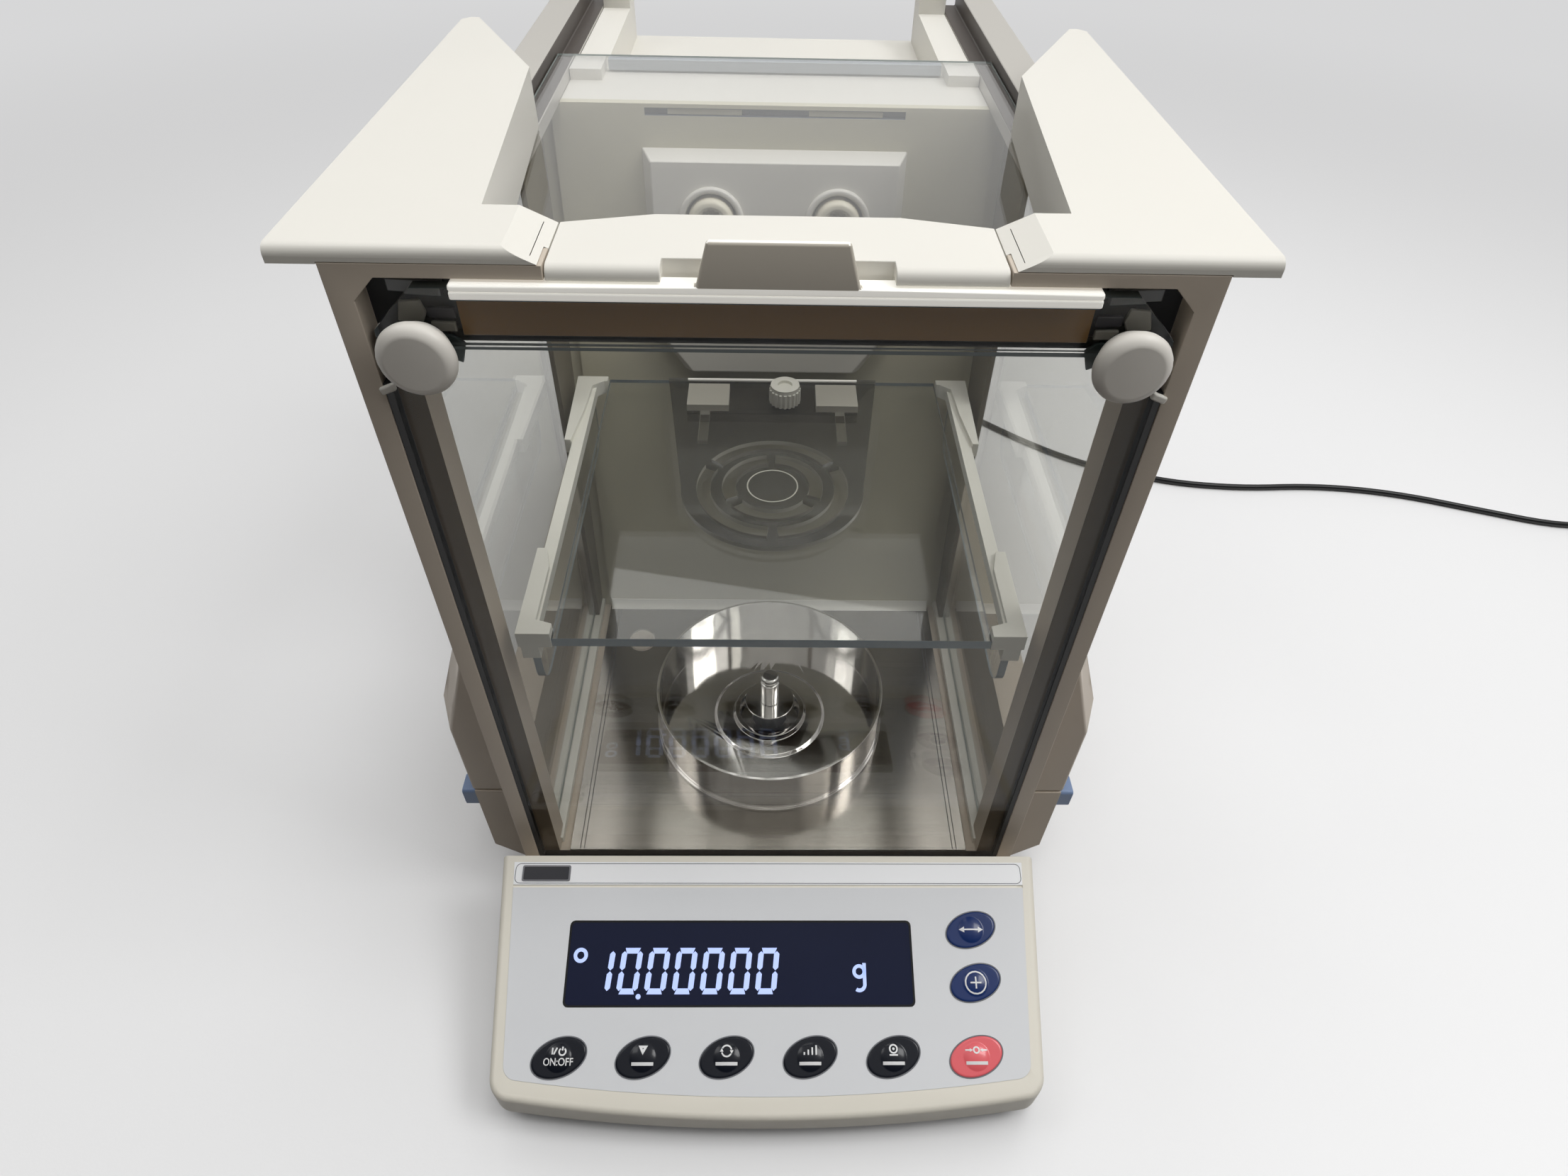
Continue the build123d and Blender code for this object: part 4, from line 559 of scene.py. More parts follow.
# outlines of two coordinates in chamber millimetres, each carried along the third axis
def extruded(name, axis, look, edge, shapes):
    order = {"x": (1, 2, 0), "y": (0, 2, 1), "z": (0, 1, 2)}[axis]
    points, faces, count = [], [], 0
    for outline, low, high in shapes:
        outline = np.asarray(outline, float)
        size = len(outline)
        for level in (low, high):
            layer = np.zeros((size, 3))
            layer[:, order[0]], layer[:, order[1]], layer[:, order[2]] = outline[:, 0], outline[:, 1], level
            points.append(layer)
        ends = np.arange(2 * size) + count
        faces += prismSides(size, count) + [ends[:size][::-1].tolist(), ends[size:].tolist()]
        count += 2 * size
    points = fromChamber(np.concatenate(points))
    piece = newPiece(name, points, faces, look, "balance", (), 28.0)
    return soften(piece, edge, 2) if edge else piece


# a box as an outline, from its ends across and its ends along
def bar(x, y):
    return [(x[0], y[0]), (x[1], y[0]), (x[1], y[1]), (x[0], y[1])]


# shapes with their mirror images across the middle plane
def mirroredShapes(shapes):
    return shapes + [([(-a, b) for a, b in outline][::-1], low, high) for outline, low, high in shapes]


# points on the console's slope in millimetres: across, down the slope and out of it
def onSlope(u, w, n):
    turn = place["slopeTurn"]
    u, w, n = np.broadcast_arrays(*[np.asarray(v, float) / 1000 for v in (u, w, n)])
    y = place["slopeY"] - w * math.cos(turn) - n * math.sin(turn)
    z = place["slopeZ"] - w * math.sin(turn) + n * math.cos(turn)
    return np.stack([u, y, z], axis=-1)


# low raised shapes on the slope, each an outline of across and down-slope points
def flatShapes(name, outlines, height, depth, look, body, slot):
    points, faces, count = [], [], 0
    for outline in outlines:
        outline = np.asarray(outline, float)
        size = len(outline)
        level = height(outline[:, 0], outline[:, 1]) if callable(height) else height
        points += [onSlope(outline[:, 0], outline[:, 1], up) for up in (level + depth, level)]
        ends = np.arange(2 * size) + count
        faces += [ends[:size].tolist()] + prismSides(size, count) + [ends[size:][::-1].tolist()]
        count += 2 * size
    return newPiece(name, np.concatenate(points), faces, look, body, (), 20.0)


softParts = {  # CAD node: look, rounded edge in metres
    # the frame look below carries painted shade
    "base_housing": ("frame", 0.0012),
    "base_plate": ("plateSteel", 0.0006),
    "front_frame": ("frame", 0.0009),
    "front_gasket": ("rubber", 0.0003),
    # the tab keeps painted shade; the strip's faces are painted over below
    "glass_trim": ("tabPaintedShade", 0.0008),
    "shoulder_cover_left": ("shell", 0.0008),
    "shoulder_cover_right": ("shell", 0.0008),
    "roof_beam": ("shell", 0.0007),
    "roof_rails": ("railWhite", 0.0006),
    "side_door_handle_left": ("frame", 0.0012),
    "side_door_handle_right": ("frame", 0.0012),
    "door_catch_left": ("tab", 0.0004),
    "door_catch_right": ("tab", 0.0004),
    "side_floor_rails": ("clip", 0.0003),
    "floor_plate": ("floorSteel", 0.0003),
    "rear_wall": ("wall", 0.0008),
    "ioniser_cover": ("shell", 0.0015),
    "rear_housing": ("shell", 0.0015),
    "rear_panel": ("dark", 0.0005),
    "shelf_rails": ("clip", 0.0008),
    "shelf_vent_plate": ("smoked", 0.0003),
    "console_top": ("bezel", 0.0006),
    "console_bottom": ("bezel", 0.0010),
    "panel_overlay": ("panel", 0.0001),
    "power_jack": ("dark", 0.0004),
    "dc_plug": ("dark", 0.0003),
    "ac_adapter": ("dark", 0.0008),
    "levelling_foot_left": ("shell", 0.0006),
    "levelling_foot_right": ("shell", 0.0006),
    "front_feet": ("rubber", 0.0005),
    "display_window": ("window", 0.0003),
    "front_glass": ("frontClear", 0.0003),
    "roof_glass": ("roofClear", 0.0003),
    "side_door_glass_left": ("sideClear", 0.0002),
    "side_door_glass_right": ("sideClear", 0.0002),
    "shelf_glasses": ("clear", 0.0003),
    "spirit_level": ("clear", 0.0006),
    "shelf_knob": ("clip", 0.0003),
    "thumbscrew_left": ("knob", 0.0005),
    "thumbscrew_right": ("knob", 0.0005),
    "draft_ring": ("ringSteel", 0.0002),
    "weighing_pan": ("polished", 0.0002),
    "reference_weight": ("polished", 0.0003),
    "calibration_weight": ("polished", 0.0003),
}
casings = {node: softCopy(node, look, edge) for node, (look, edge) in softParts.items()}

plainParts = {
    "base_screws": "plateSteel",
    "weighing_lever": "plateSteel",
    "weighing_cell": "plateSteel",
    "main_board": "board",
    "display_board": "board",
}
for node, look in plainParts.items():
    mesh = frame["nodes"][node].data
    mesh.materials.clear()
    mesh.materials.append(looks[look])
supplyLead.data.materials.append(looks["cord"])

# the faces whose values all lie between their limits, in one of several sets of limits; the values
# are the middle across without its sign, back, up and behind the leaning wall, all in chamber
# millimetres, then the normal's share along back and up, and the middle of the three extents
def facesWithin(mesh, sets):
    middle = toChamber(threes(mesh.polygons, "center"))
    normal = threes(mesh.polygons, "normal")
    at = threes(mesh.vertices, "co") * 1000
    extent = np.array([np.ptp(at[list(face.vertices)], axis=0) for face in mesh.polygons])
    values = {
        "across": np.abs(middle[:, 0]),
        "back": middle[:, 1],
        "up": middle[:, 2],
        "behindWall": middle[:, 1] - 1000 * place["wallFoot"] - place["wallLean"] * middle[:, 2],
        "facesBack": normal[:, 1],
        "facesUp": normal[:, 2],
        "narrow": np.sort(extent, axis=1)[:, 1],
    }
    picked = [np.all([between(values[key], ends) for key, ends in one.items()], axis=0) for one in sets]
    return np.any(picked, axis=0)


# another look for some faces of a piece
def paint(piece, look, sets):
    mesh = piece.data
    picked = facesWithin(mesh, sets)
    mesh.materials.append(looks[look])
    index = np.zeros(len(mesh.polygons), dtype=np.int32)
    mesh.polygons.foreach_get("material_index", index)
    index[picked] = len(mesh.materials) - 1
    mesh.polygons.foreach_set("material_index", index)


seatFacing = {"back": (4.9, 5.1), "facesBack": (-2, -0.9)}
painted = [  # CAD node, look, sets of limits of its faces, each row over the ones before
    # the trim strip's faces take the glowing trim look: painted light
    ("glass_trim", "trim", [{"up": (-1, 283.9)}, {"facesUp": (0.9, 2)}]),
    # painted shade on the seat faces behind the front glass, deeper below the beam
    ("front_frame", "seatShade", [seatFacing]),
    ("front_frame", "seatDeepShade", [{**seatFacing, "up": (-99, 262.0)}]),
    # painted shade in the corner pockets
    ("front_frame", "pocketShadeAndPrint", [{"across": (82.5, 107.2), "back": (0.4, 8.6), "up": (253.3, 284.7)}]),
    ("front_glass", "edgeDarkAndShadow", [{"narrow": (-1, 4.6)}]),
    ("roof_glass", "edgeGreen", [{"narrow": (-1, 4.0)}]),
    ("side_door_glass_left", "edgeGreen", [{"narrow": (-1, 4.0)}]),
    ("side_door_glass_right", "edgeGreen", [{"narrow": (-1, 4.0)}]),
    ("shelf_glasses", "edgeBlue", [{"narrow": (-1, 4.6)}]),
    ("shelf_vent_plate", "edgeAcrylic", [{"narrow": (-1, 2.3)}]),
    ("shelf_vent_plate", "clamp", [{"up": (149.3, 999), "back": (140, 999)}]),
    # painted shade on the rails' inner faces and their ledge
    ("roof_rails", "railPaintedShade", [
        {"across": (96.8, 97.2), "up": (268.0, 999)},
        {"up": (267.8, 268.2), "facesUp": (0.9, 2)},
    ]),
    ("roof_beam", "stop", [{"back": (200, 999)}]),
    ("rear_wall", "bracketShade", [{"behindWall": (-999, -2), "up": (132, 148)}]),
    # painted shade inside the slot of the rear wall
    ("rear_wall", "slotPaintedShade", [{"up": (257.5, 262), "behindWall": (1.2, 3.3), "across": (-1, 55)}]),
    ("panel_overlay", "header", [{"up": (15.2, 999)}]),
]
beam = {"underside": (261.9, 262.1), "rise": 4.9}


# the front frame's beam is slimmer than in the CAD: the points of its underside move up
def slimBeam(mesh, facts):
    at = threes(mesh.vertices, "co")
    at[between(toChamber(at)[:, 2], facts["underside"]), 2] += facts["rise"] / 1000
    mesh.vertices.foreach_set("co", at.ravel())
    mesh.update()


slimBeam(casings["front_frame"].data, beam)
for node, look, sets in painted:
    paint(casings[node], look, sets)
print("stage: casings")

smallParts = {  # axis, look, slot, rounded edge in metres, mirrored, outlines between two levels
    "latchBar": ("y", "latchGrey", "dark", 0.0004, True, [
        ([(86.5, 277.4), (100.5, 278.2), (100.5, 281.8), (86.5, 281.0)], 5.6, 8.2),
    ]),
    "latchShade": ("y", "latchShade", "dark", 0.0002, True, [
        ([(84.0, 271.6), (91.0, 271.8), (91.0, 274.6), (84.0, 274.4)], 5.1, 6.4),
    ]),
    "latchBlock": ("y", "latchBeige", "cream", 0.0005, True, [
        ([(84.5, 267.6), (91.0, 267.8), (91.0, 270.6), (84.5, 270.4)], 5.1, 6.4),
        ([(93.0, 270.0), (99.5, 270.6), (98.0, 276.2), (92.5, 276.6), (91.5, 273.0)], 5.2, 6.6),
    ]),
    "latchWedge": ("y", "latchGreen", "dark", 0.0002, True, [
        ([(83.2, 264.2), (85.0, 258.5), (93.0, 262.0), (92.0, 267.0), (86.0, 266.6)], 5.1, 6.2),
    ]),
    # the trim's lip glows: painted light
    "trimLip": ("y", "trim", "cream", 0.0005, False, [(bar((-82.5, 82.5), (279.7, 281.9)), -1.8, 0.55)]),
    # a dark bar on the glass just under the trim's lip: painted shadow
    "trimShadowLine": ("y", "edgeDarkAndShadow", "dark", 0, False, [(bar((-82.5, 82.5), (278.5, 279.6)), 0.3, 0.58)]),
    "glassNub": ("y", "shell", "shell", 0.0007, True, [
        ([(103.2, 252.4), (107.6, 250.6), (108.4, 252.8), (104.0, 254.6)], -0.9, 0.9),
    ]),
    "floorLines": ("z", "plateDark", "dark", 0, True, [
        (bar((86.6, 86.95), (6.0, 158.5)), -0.02, 0.06),
        (bar((88.4, 88.75), (6.0, 158.5)), -0.02, 0.06),
    ]),
    "wallCove": ("x", "shell", "shell", 0.0001, False, [
        ([(159.3, 0.05), (163.2, 0.05), (163.7, 4.4), (163.2, 4.4), (162.2, 2.0), (161.0, 0.9)], -92.6, 92.6),
    ]),
}
for name, (axis, look, slot, edge, mirrored, shapes) in smallParts.items():
    extruded(name, axis, look, edge, mirroredShapes(shapes) if mirrored else shapes)

ventMarks = {  # the vent plate's engraved circle, and its rear edge as a glowing bar of painted highlight, in chamber millimetres
    "back": 91.0,
    "up": 149.05,
    "radius": 10.6,
    "section": [(0.3, 0.0), (0.15, 0.08), (-0.15, 0.08), (-0.3, 0.0)],
    "rearEdgeHighlight": (bar((-41.0, 41.0), (148.4, 149.5)), 172.5, 173.3),
}


# a low section of radius and height carried round the circle, and a glowing bar along the rear edge as a
# painted highlight
def makeVentMarks(facts, steps=72):
    turn = fullTurn(steps)[None, :]
    section = np.array(facts["section"])
    radius = facts["radius"] + section[:, :1] + 0 * turn
    up = facts["up"] + section[:, 1:] + 0 * turn
    circle = np.stack([radius * np.cos(turn), facts["back"] + radius * np.sin(turn), up], axis=-1)
    faces = gridFaces(len(section), steps, wrapRows=True, wrapCols=True)
    newPiece("ventCircle", fromChamber(circle), faces, "edgeAcrylic", "balance")
    extruded("ventEdgeHighlight", "y", "trim", 0.0001, [facts["rearEdgeHighlight"]])


makeVentMarks(ventMarks)

emitter = {  # the ioniser's nozzles: profiles of radius and height, in chamber millimetres
    "x": 27.5,
    "up": 220.7,
    "flange": [(10.2, 2.0), (11.2, 2.0), (11.5, 8.6), (12.0, 9.9), (13.6, 9.9), (14.3, 9.0), (14.3, 8.0),
               (11.0, 2.2)],
    "nozzle": [(0, 3.0), (5.6, 3.0), (5.8, 11.2), (6.6, 12.2), (8.6, 12.0), (9.8, 10.6), (10.1, 8.2),
               (10.1, 3.0), (0, 3.0)],
    "edge": 0.7,
    "bore": (1.0, 6.2),
    "ribs": 16,
    "ribDepth": 0.55,
}


# a profile turned about the leaning wall's normal; ribs wave the bore's radius with the angle
def makeNozzle(name, side, profile, look, ribs=0, steps=144):
    facts = emitter
    profile = roundedProfile(profile, facts["edge"], 4)
    turn = fullTurn(steps)[None, :]
    radius, height = profile[:, :1] + 0 * turn, profile[:, 1:] + 0 * turn
    if ribs:
        inBore = between(radius, facts["bore"])
        radius = radius - inBore * facts["ribDepth"] * (0.5 + 0.5 * np.cos(ribs * turn))
    lean = math.atan(place["wallLean"])
    u = side * facts["x"] + radius * np.cos(turn)
    v = facts["up"] + radius * np.sin(turn)
    y = 1000 * place["wallFoot"] + v * math.sin(lean) - height * math.cos(lean)
    z = v * math.cos(lean) + height * math.sin(lean)
    faces = gridFaces(len(profile), steps, wrapRows=profile[0, 0] > 0, wrapCols=True)
    points = fromChamber(np.stack([u, y, z], axis=-1))
    return newPiece(name, points, faces, look, "balance", (), 40.0)


for label, side in (("Left", -1), ("Right", 1)):
    flange = makeNozzle("emitterRing" + label, side, emitter["flange"], "shell")
    makeNozzle("emitterNozzle" + label, side, emitter["nozzle"], "cream", emitter["ribs"])
    if side > 0:
        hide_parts("ioniser_emitters")
print("stage: chamber")

keyFacts = {  # in millimetres on the slope
    "long": 11.1,
    "short": 7.0,
    "sideLong": 10.9,
    "sideShort": 6.85,
    "turn": math.radians(18.5),
    "proud": 0.7,
    "edge": 0.10,
    "edgeDrop": 0.45,
    "skirt": -2.4,
    "domeRadius": 5.3,
    "domeRise": 1.0,
    "domePower": 0.85,
    "rowDown": 78.6,
    "pitch": 33.7,
    "sideRight": 86.6,
}
rowKeys = {
    "key_power": "keyDark",
    "key_calibrate": "keyDark",
    "key_mode": "keyDark",
    "key_range": "keyDark",
    "key_print": "keyDark",
    "key_zero": "keyRed",
}
sideKeys = {"key_select": 30.0, "key_ioniser": 51.0}  # how far down the slope
keyPlans = {  # across, down, half the length, half the height, look
    node: ((count - 2.5) * keyFacts["pitch"], keyFacts["rowDown"], keyFacts["long"], keyFacts["short"], look)
    for count, (node, look) in enumerate(rowKeys.items())
}
for node, down in sideKeys.items():
    keyPlans[node] = (keyFacts["sideRight"], down, keyFacts["sideLong"], keyFacts["sideShort"], "keyNavy")


# the round dome in the middle of a key: highest there, and down to nothing at its radius
def keyDome(across, up):
    away = np.hypot(across, up) / keyFacts["domeRadius"]
    return keyFacts["domeRise"] * np.clip(1 - away**2, 0, 1) ** keyFacts["domePower"]


# a key's long axis is turned up to the right: across and up from two lengths along its own axes
def keyTurned(x, y):
    cosTurn, sinTurn = math.cos(keyFacts["turn"]), math.sin(keyFacts["turn"])
    return x * cosTurn - y * sinTurn, x * sinTurn + y * cosTurn


# a slanted oval: r runs from the middle to the rim, and a low round dome stands in the middle
def makeKey(node, u, w, longHalf, shortHalf, look, rings=34, steps=96):
    facts = keyFacts
    r = np.linspace(0, 1, rings)[:, None]
    phi = fullTurn(steps)[None, :]
    across, up = keyTurned(longHalf * r * np.cos(phi), shortHalf * r * np.sin(phi))
    rim = np.clip((r - (1 - facts["edge"])) / facts["edge"], 0, 1) + 0 * phi
    height = facts["proud"] - facts["edgeDrop"] * (1 - np.sqrt(np.clip(1 - rim**2, 0, 1)))
    points = onSlope(u + across, w - up, height + keyDome(across, up))
    skirt = onSlope(u + across[-1:], w - up[-1:], facts["skirt"])
    middle = np.repeat(onSlope(u, w, facts["skirt"])[None, None], steps, axis=1)
    faces = gridFaces(rings + 2, steps, wrapCols=True)
    points = np.concatenate([points, skirt, middle])
    newPiece(node + "_cap", points, faces, look, node, (node,), 50.0)


for node, plan in keyPlans.items():
    makeKey(node, *plan)

reading = {  # the window's top left corner on the slope, and places from there, in millimetres
    "left": -85.45,
    "top": 26.95,
    "firstMiddle": 15.7,
    "pitch": 11.52,
    "middleDown": 19.3,
    "halfWidth": 3.3,
    "halfHeight": 7.9,
    "stroke": 1.12,
    "split": 0.12,
    "tip": 0.1,
    "taper": 0.9,
    "slant": 0.095,
    "surface": 0.21,
    "thick": 0.05,
    "digits": "1000000",
    "stableRing": (6.2, 13.2, 3.0, 1.5),
    "pointShift": 1.6,
    "pointDown": 29.2,
    "pointRadius": 1.05,
    "unitRing": (123.4, 19.6, 2.85, 1.45),
    "unitStem": [(2.2, -3.3), (2.2, 5.2)],
    "unitHook": ((-0.1, 5.0), 2.3, 0, -125),
    "unitStroke": 0.72,
}
litSegments = {"1": "bc", "0": "abcdef"}


# each lit segment is a six-sided bar between two corners of its digit, leaning to the right
def segmentOutlines(facts):
    w, h, s, gapHalf = facts["halfWidth"], facts["halfHeight"], facts["stroke"], facts["split"]
    tip, taper = facts["tip"], facts["taper"]
    ends = {
        "a": ((-w, h), (w, h)),
        "b": ((w, h), (w, 0)),
        "c": ((w, 0), (w, -h)),
        "d": ((-w, -h), (w, -h)),
        "e": ((-w, 0), (-w, -h)),
        "f": ((-w, h), (-w, 0)),
    }
    outlines = []
    for i, digit in enumerate(facts["digits"]):
        for segment in litSegments[digit]:
            a, b = (np.array(p) for p in ends[segment])
            along = (b - a) / np.linalg.norm(b - a)
            side = np.array([-along[1], along[0]])
            a, b = a + along * gapHalf * 2, b - along * gapHalf * 2
            lit = np.array([
                a - along * tip,
                a + along * s * taper + side * s,
                b - along * s * taper + side * s,
                b + along * tip,
                b - along * s * taper - side * s,
                a + along * s * taper - side * s,
            ])
            if segment in "ad":
                flip = 1 if segment == "a" else -1
                inner, outer = w - taper, w - tip
                low, high = flip * (h - s), flip * (h + s)
                lit = np.array([[-inner, low], [inner, low], [outer, high], [-outer, high]])
            across = facts["left"] + facts["firstMiddle"] + i * facts["pitch"]
            across = across + lit[:, 0] + facts["slant"] * lit[:, 1]
            outlines.append(paired(across, facts["top"] + facts["middleDown"] - lit[:, 1]))
    return outlines


# a ring as one closed outline that runs round the outside and back round the inside
def ringOutline(middle, outer, inner, steps=28):
    t = np.linspace(0.5 * np.pi, 2.5 * np.pi - 0.001, steps)
    out = paired(middle[0] + outer * np.cos(t), middle[1] + outer * np.sin(t))
    back = paired(middle[0] + inner * np.cos(t[::-1]), middle[1] + inner * np.sin(t[::-1]))
    return np.concatenate([out, back])


# a line of points widened to a band with square ends
def strokeOutline(line, half):
    left, right = sidesOf(np.asarray(line, float), half)
    return np.concatenate([left, right[::-1]])


# points of an arc about a middle, from one angle in degrees to another
def arc(middle, radius, start, end, steps=18):
    t = np.radians(np.linspace(start, end, steps))
    return paired(middle[0] + radius * np.cos(t), middle[1] - radius * np.sin(t))


# the digits, the stable ring, the decimal point and the unit letter: a ring with a stem and a hook
def makeReading(facts):
    left, top = facts["left"], facts["top"]
    outlines = segmentOutlines(facts)
    x, y, outer, inner = facts["stableRing"]
    outlines.append(ringOutline((left + x, top + y), outer, inner))
    point = left + facts["firstMiddle"] + 1.5 * facts["pitch"] - facts["pointShift"]
    outlines.append(arc((point, top + facts["pointDown"]), facts["pointRadius"], 0, 350))
    x, y, outer, inner = facts["unitRing"]
    at = np.array([left + x, top + y])
    outlines.append(ringOutline(at, outer, inner))
    outlines.append(strokeOutline(at + facts["unitStem"], facts["unitStroke"]))
    outlines.append(strokeOutline(at + arc(*facts["unitHook"]), facts["unitStroke"]))
    level, thick = facts["surface"], facts["thick"]
    flatShapes("displayReading", outlines, level, thick, "glow", "balance", "window")


makeReading(reading)


# a rectangle with rounded corners, as points that run once round it
def roundedBox(box, radius, steps=7):
    left, right, top, low = box
    turn = np.radians(np.linspace(0, 90, steps))
    corners = [
        (right - radius, low - radius, 0),
        (left + radius, low - radius, 90),
        (left + radius, top + radius, 180),
        (right - radius, top + radius, 270),
    ]
    parts = []
    for x, y, start in corners:
        angle = turn + math.radians(start)
        parts.append(paired(x + radius * np.cos(angle), y + radius * np.sin(angle)))
    return np.concatenate(parts)


# a box moved outwards on all four sides
def grown(box, by):
    left, right, top, low = box
    return left - by, right + by, top - by, low + by


# the two sides of a line round a box: the box grown and the box shrunk, with rounded corners
def boxBand(box, grow, line, radius):
    return roundedBox(grown(box, grow), radius), roundedBox(grown(box, -line), radius - line), True


# points added along a line so that no step is longer than the given length
def dense(points, step=0.35):
    points = np.asarray(points, float)
    away = np.concatenate([[0], np.cumsum(np.linalg.norm(np.diff(points, axis=0), axis=1))])
    at = np.linspace(0, away[-1], max(2, int(away[-1] / step) + 1))
    return paired(np.interp(at, away, points[:, 0]), np.interp(at, away, points[:, 1]))


# low bands on the slope: the two sides of a line, at a level and at a depth above it, as four rows
def flatBands(name, bands, height, depth, look, body, slot):
    points, faces, count = [], [], 0
    for left, right, closed in bands:
        size = len(left)
        tops, lows = [], []
        for side in (left, right):
            level = height(side[:, 0], side[:, 1]) if callable(height) else height
            tops.append(onSlope(side[:, 0], side[:, 1], level + depth))
            lows.append(onSlope(side[:, 0], side[:, 1], level))
        points += tops + lows[::-1]
        faces += (gridFaces(4, size, wrapRows=True, wrapCols=closed) + count).tolist()
        if not closed:
            ends = count + size * np.arange(4)
            faces += [ends.tolist(), (ends[::-1] + size - 1).tolist()]
        count += 4 * size
    return newPiece(name, np.concatenate(points), faces, look, body, (), 20.0)


def bandOf(line, half):
    return (*sidesOf(dense(line), half), False)


panelPrint = {  # boxes are left, right, top and low, in millimetres on the slope
    "height": 0.2,
    "window": (-84.75, 60.75, 26.35, 60.05),
    "windowGrow": 0.15,
    "windowRadius": 2.4,
    "windowLine": 0.7,
    "cornerReach": 0.1,
    "windowLevel": (0.02, 0.06),  # how far above the panel, and how thick
    "cornerLevel": (0.005, 0.04),
    "header": (-111.2, 111.2, 2.3, 10.9),
    "headerRadius": 2.4,
    "headerLine": 0.28,
    "headerLevel": (0.005, 0.03),
    "plate": (-108.0, -87.0, 3.2, 10.0),
    "plateRadii": (0.8, 0.5),
    "plateRim": 0.7,
    "plateThick": (0.35, 0.5),
    "keyRim": 0.47,
    "keyRimLevel": (0.01, 0.12),
}


# what fills a box's corners outside the window's line: each between the corner and an arc
def cornerFills(box, radius, steps=8):
    left, right, top, low = box
    turn = np.radians(np.linspace(0, 90, steps))
    fills = []
    for x, inX in ((left, 1), (right, -1)):
        for y, inY in ((top, 1), (low, -1)):
            curve = paired(x + inX * radius * (1 - np.sin(turn)), y + inY * radius * (1 - np.cos(turn)))
            fills.append(np.concatenate([[(x, y)], curve]))
    return fills


# lines round the window and the header, a bare plate with a rim, and a rim round each key
def makePanelPrint(facts):
    height, grow, reach = facts["height"], facts["windowGrow"], facts["cornerReach"]
    level = {key: (height + pair[0], pair[1]) for key, pair in facts.items() if key.endswith("Level")}
    line = boxBand(facts["window"], grow, facts["windowLine"], facts["windowRadius"])
    flatBands("windowLine", [line], *level["windowLevel"], "pocketShadeAndPrint", "balance", "dark")
    fills = cornerFills(grown(facts["window"], grow + reach), facts["windowRadius"] + reach)
    flatShapes("windowCorners", fills, *level["cornerLevel"], "panel", "balance", "panel")
    line = boxBand(facts["header"], 0, facts["headerLine"], facts["headerRadius"])
    flatBands("headerLine", [line], *level["headerLevel"], "line", "balance", "dark")
    rimThick, plateThick = facts["plateThick"]
    rim = roundedBox(facts["plate"], facts["plateRadii"][0])
    flatShapes("barePlateRim", [rim], height, rimThick, "plateRim", "balance", "dark")
    plate = roundedBox(grown(facts["plate"], -facts["plateRim"]), facts["plateRadii"][1])
    flatShapes("barePlate", [plate], height, plateThick, "plateDark", "balance", "dark")
    t, rims = fullTurn(72), []
    for u, w, long, short, look in keyPlans.values():
        sides = []
        for by in (facts["keyRim"], 0.0):
            across, up = keyTurned((long + by) * np.cos(t), (short + by) * np.sin(t))
            sides.append(paired(u + across, w - up))
        rims.append((*sides, True))
    flatBands("keyRims", rims, *level["keyRimLevel"], "rim", "balance", "dark")


# an arrow head that points along a direction given in degrees
def arrowHead(x, y, size, direction):
    a = math.radians(direction)
    at, ahead = np.array([x, y]), np.array([math.cos(a), -math.sin(a)]) * size
    side, back = np.array([math.sin(a), math.cos(a)]) * size * 0.8, at - ahead * 0.5
    return np.array([at + ahead, back + side, back - side])


signs = {"lineHalf": 0.3, "barHalf": 0.62, "lift": 0.02, "lineDepth": 0.08, "fillDepth": 0.16}
signBar = [(-4.4, 2.3), (4.4, 2.3)]
barKeys = ("key_calibrate", "key_mode", "key_range", "key_print", "key_zero")
keySigns = {  # lines, then filled shapes, in millimetres across and down from the middle of the key
    "key_power": (
        [[(-2.5, -1.2), (-2.5, -3.6)], [(-1.9, -1.2), (-0.7, -3.6)], arc((1.5, -2.2), 1.3, 125, 415),
         [(1.5, -2.6), (1.5, -4.0)]],
        [],
    ),
    "key_calibrate": ([], [[(-1.9, -4.3), (1.9, -4.3), (0, -0.9)]]),
    "key_mode": (
        [arc((0, -2.3), 2.0, 15, 150), arc((0, -2.3), 2.0, 195, 330)],
        [arrowHead(2.0, -2.1, 0.9, 270), arrowHead(-2.0, -2.5, 0.9, 90)],
    ),
    "key_range": (
        [[(-2.4, -0.8), (-2.4, -1.8)], [(-0.8, -0.8), (-0.8, -2.7)], [(0.8, -0.8), (0.8, -3.5)],
         [(2.4, -0.8), (2.4, -4.3)]],
        [],
    ),
    "key_print": ([arc((0, -2.9), 1.5, 0, 360), [(-1.7, -0.7), (1.7, -0.7)]], [arc((0, -2.9), 0.5, 0, 330)]),
    "key_zero": (
        [arc((0, -2.4), 1.1, 0, 360), [(-4.4, -2.4), (-2.2, -2.4)], [(4.4, -2.4), (2.2, -2.4)]],
        [arrowHead(-2.2, -2.4, 0.8, 0), arrowHead(2.2, -2.4, 0.8, 180)],
    ),
    "key_select": ([[(-3.4, 0), (3.4, 0)]], [arrowHead(3.7, 0, 1.5, 0), arrowHead(-3.7, 0, 1.5, 180)]),
    "key_ioniser": ([arc((0, 0), 4.3, 0, 360), [(-2.3, 0), (2.3, 0)], [(0, -2.3), (0, 2.3)]], []),
}


